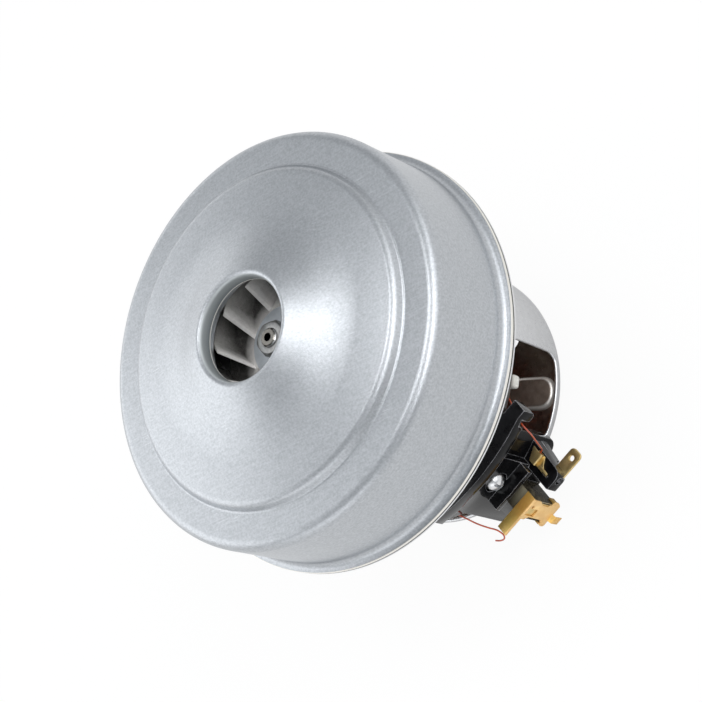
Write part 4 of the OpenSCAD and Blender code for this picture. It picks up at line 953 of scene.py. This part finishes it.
def makeFloor():
    bm = bmesh.new()
    bmesh.ops.create_grid(bm, x_segments=1, y_segments=1, size=stageLook["size"])
    grown = bmesh.ops.extrude_edge_only(bm, edges=bm.edges[:])
    pullOut(bm, grown, (0, 0, stageLook["wall"]))   # low walls far off, so the horizon stays pale
    if max(bm.faces, key=lambda f: f.calc_area()).normal.z < 0:
        bmesh.ops.reverse_faces(bm, faces=bm.faces)
    floor = bpy.data.objects.new("paleFloor", closeMesh("paleFloor", bm))
    scene.collection.objects.link(floor)
    finish = bpy.data.materials.new("paleFloor")
    finish.use_nodes = True
    tree = finish.node_tree
    shader = tree.nodes["Principled BSDF"]
    shader.inputs["Base Color"].default_value = (*stageLook["floorTone"], 1)
    shader.inputs["Roughness"].default_value = stageLook["rough"]
    shader.inputs["Specular IOR Level"].default_value = 0
    path = tree.nodes.new("ShaderNodeLightPath")
    mirrored = sums(tree, "MAXIMUM", path.outputs["Is Glossy Ray"], path.outputs["Is Transmission Ray"])
    seen = sums(tree, "MAXIMUM", path.outputs["Is Camera Ray"], mirrored)
    glow = tree.nodes.new("ShaderNodeEmission")
    under = tree.nodes.new("ShaderNodeAmbientOcclusion")
    under.samples = stageLook["samples"]
    under.inputs["Distance"].default_value = stageLook["shade"]
    strength = sums(tree, "MAXIMUM", under.outputs["AO"], path.outputs["Is Camera Ray"])
    tree.links.new(strength, glow.inputs["Strength"])
    mix = tree.nodes.new("ShaderNodeMixShader")
    tree.links.new(sums(tree, "MULTIPLY", seen, stageLook["floorGlow"]), mix.inputs[0])
    tree.links.new(shader.outputs["BSDF"], mix.inputs[1])
    tree.links.new(glow.outputs["Emission"], mix.inputs[2])
    tree.links.new(mix.outputs["Shader"], tree.nodes["Material Output"].inputs["Surface"])
    floor.data.materials.append(finish)


def makeLamp(name, place, aim, size, brightness):
    lamp = bpy.data.lights.new(name, "AREA")
    lamp.shape = "RECTANGLE"
    lamp.size, lamp.size_y = size
    lamp.energy = brightness * math.pi * size[0] * size[1]
    body = bpy.data.objects.new(name, lamp)
    body.location = place
    body.rotation_euler = (Vector(aim) - Vector(place)).to_track_quat("-Z", "Y").to_euler()
    scene.collection.objects.link(body)


makeFloor()
world = bpy.data.worlds.new("studio")
scene.world = world
world.use_nodes = True
sky = world.node_tree.nodes["Background"]
sky.inputs["Color"].default_value = (*stageLook["sky"], 1)
sky.inputs["Strength"].default_value = stageLook["world"]
lampLook = {
    "overheadBox": {"place": (-0.2, 0.1, 1.16), "size": (0.38, 0.38), "level": 4.9},
    "backBox": {"place": (-0.52, -1.0, 0.72), "size": (1.3, 1.0), "level": 1.3},
    "leftBox": {"place": (-1.2, -0.45, 0.5), "size": (0.7, 0.5), "level": 0.8},
    "sideBox": {"place": (0.3, 1.06, 0.76), "size": (1.7, 0.6), "level": 1.35},
    "frontBox": {"place": (0.78, -0.78, 0.6), "size": (1.1, 0.6), "level": 1.0},
    "edgeBox": {"place": (0.36, 0.54, 0.93), "size": (0.9, 0.28), "level": 4.2},
}
for name, look in lampLook.items():
    makeLamp(name, look["place"], stageLook["aim"], look["size"], look["level"])
print("stage lit")

cameraLook = {"lens": 82.05, "place": (303.24, 152.93, 447.10), "right": (0.49537, 0.59417, -0.63369),
              "up": (-0.62843, 0.74876, 0.21080), "back": (0.59973, 0.29381, 0.74431), "sensor": 36,
              "clip": (0.01, 40)}
lens = bpy.data.cameras.new("photoCamera")
lens.sensor_width = cameraLook["sensor"]
lens.lens = cameraLook["lens"]
lens.clip_start, lens.clip_end = cameraLook["clip"]
camera = bpy.data.objects.new("photoCamera", lens)
scene.collection.objects.link(camera)
turn = Matrix((cameraLook["right"], cameraLook["up"], cameraLook["back"])).transposed().to_4x4()
camera.matrix_world = Matrix.Translation(Vector(cameraLook["place"]) * mm) @ turn
scene.camera = camera
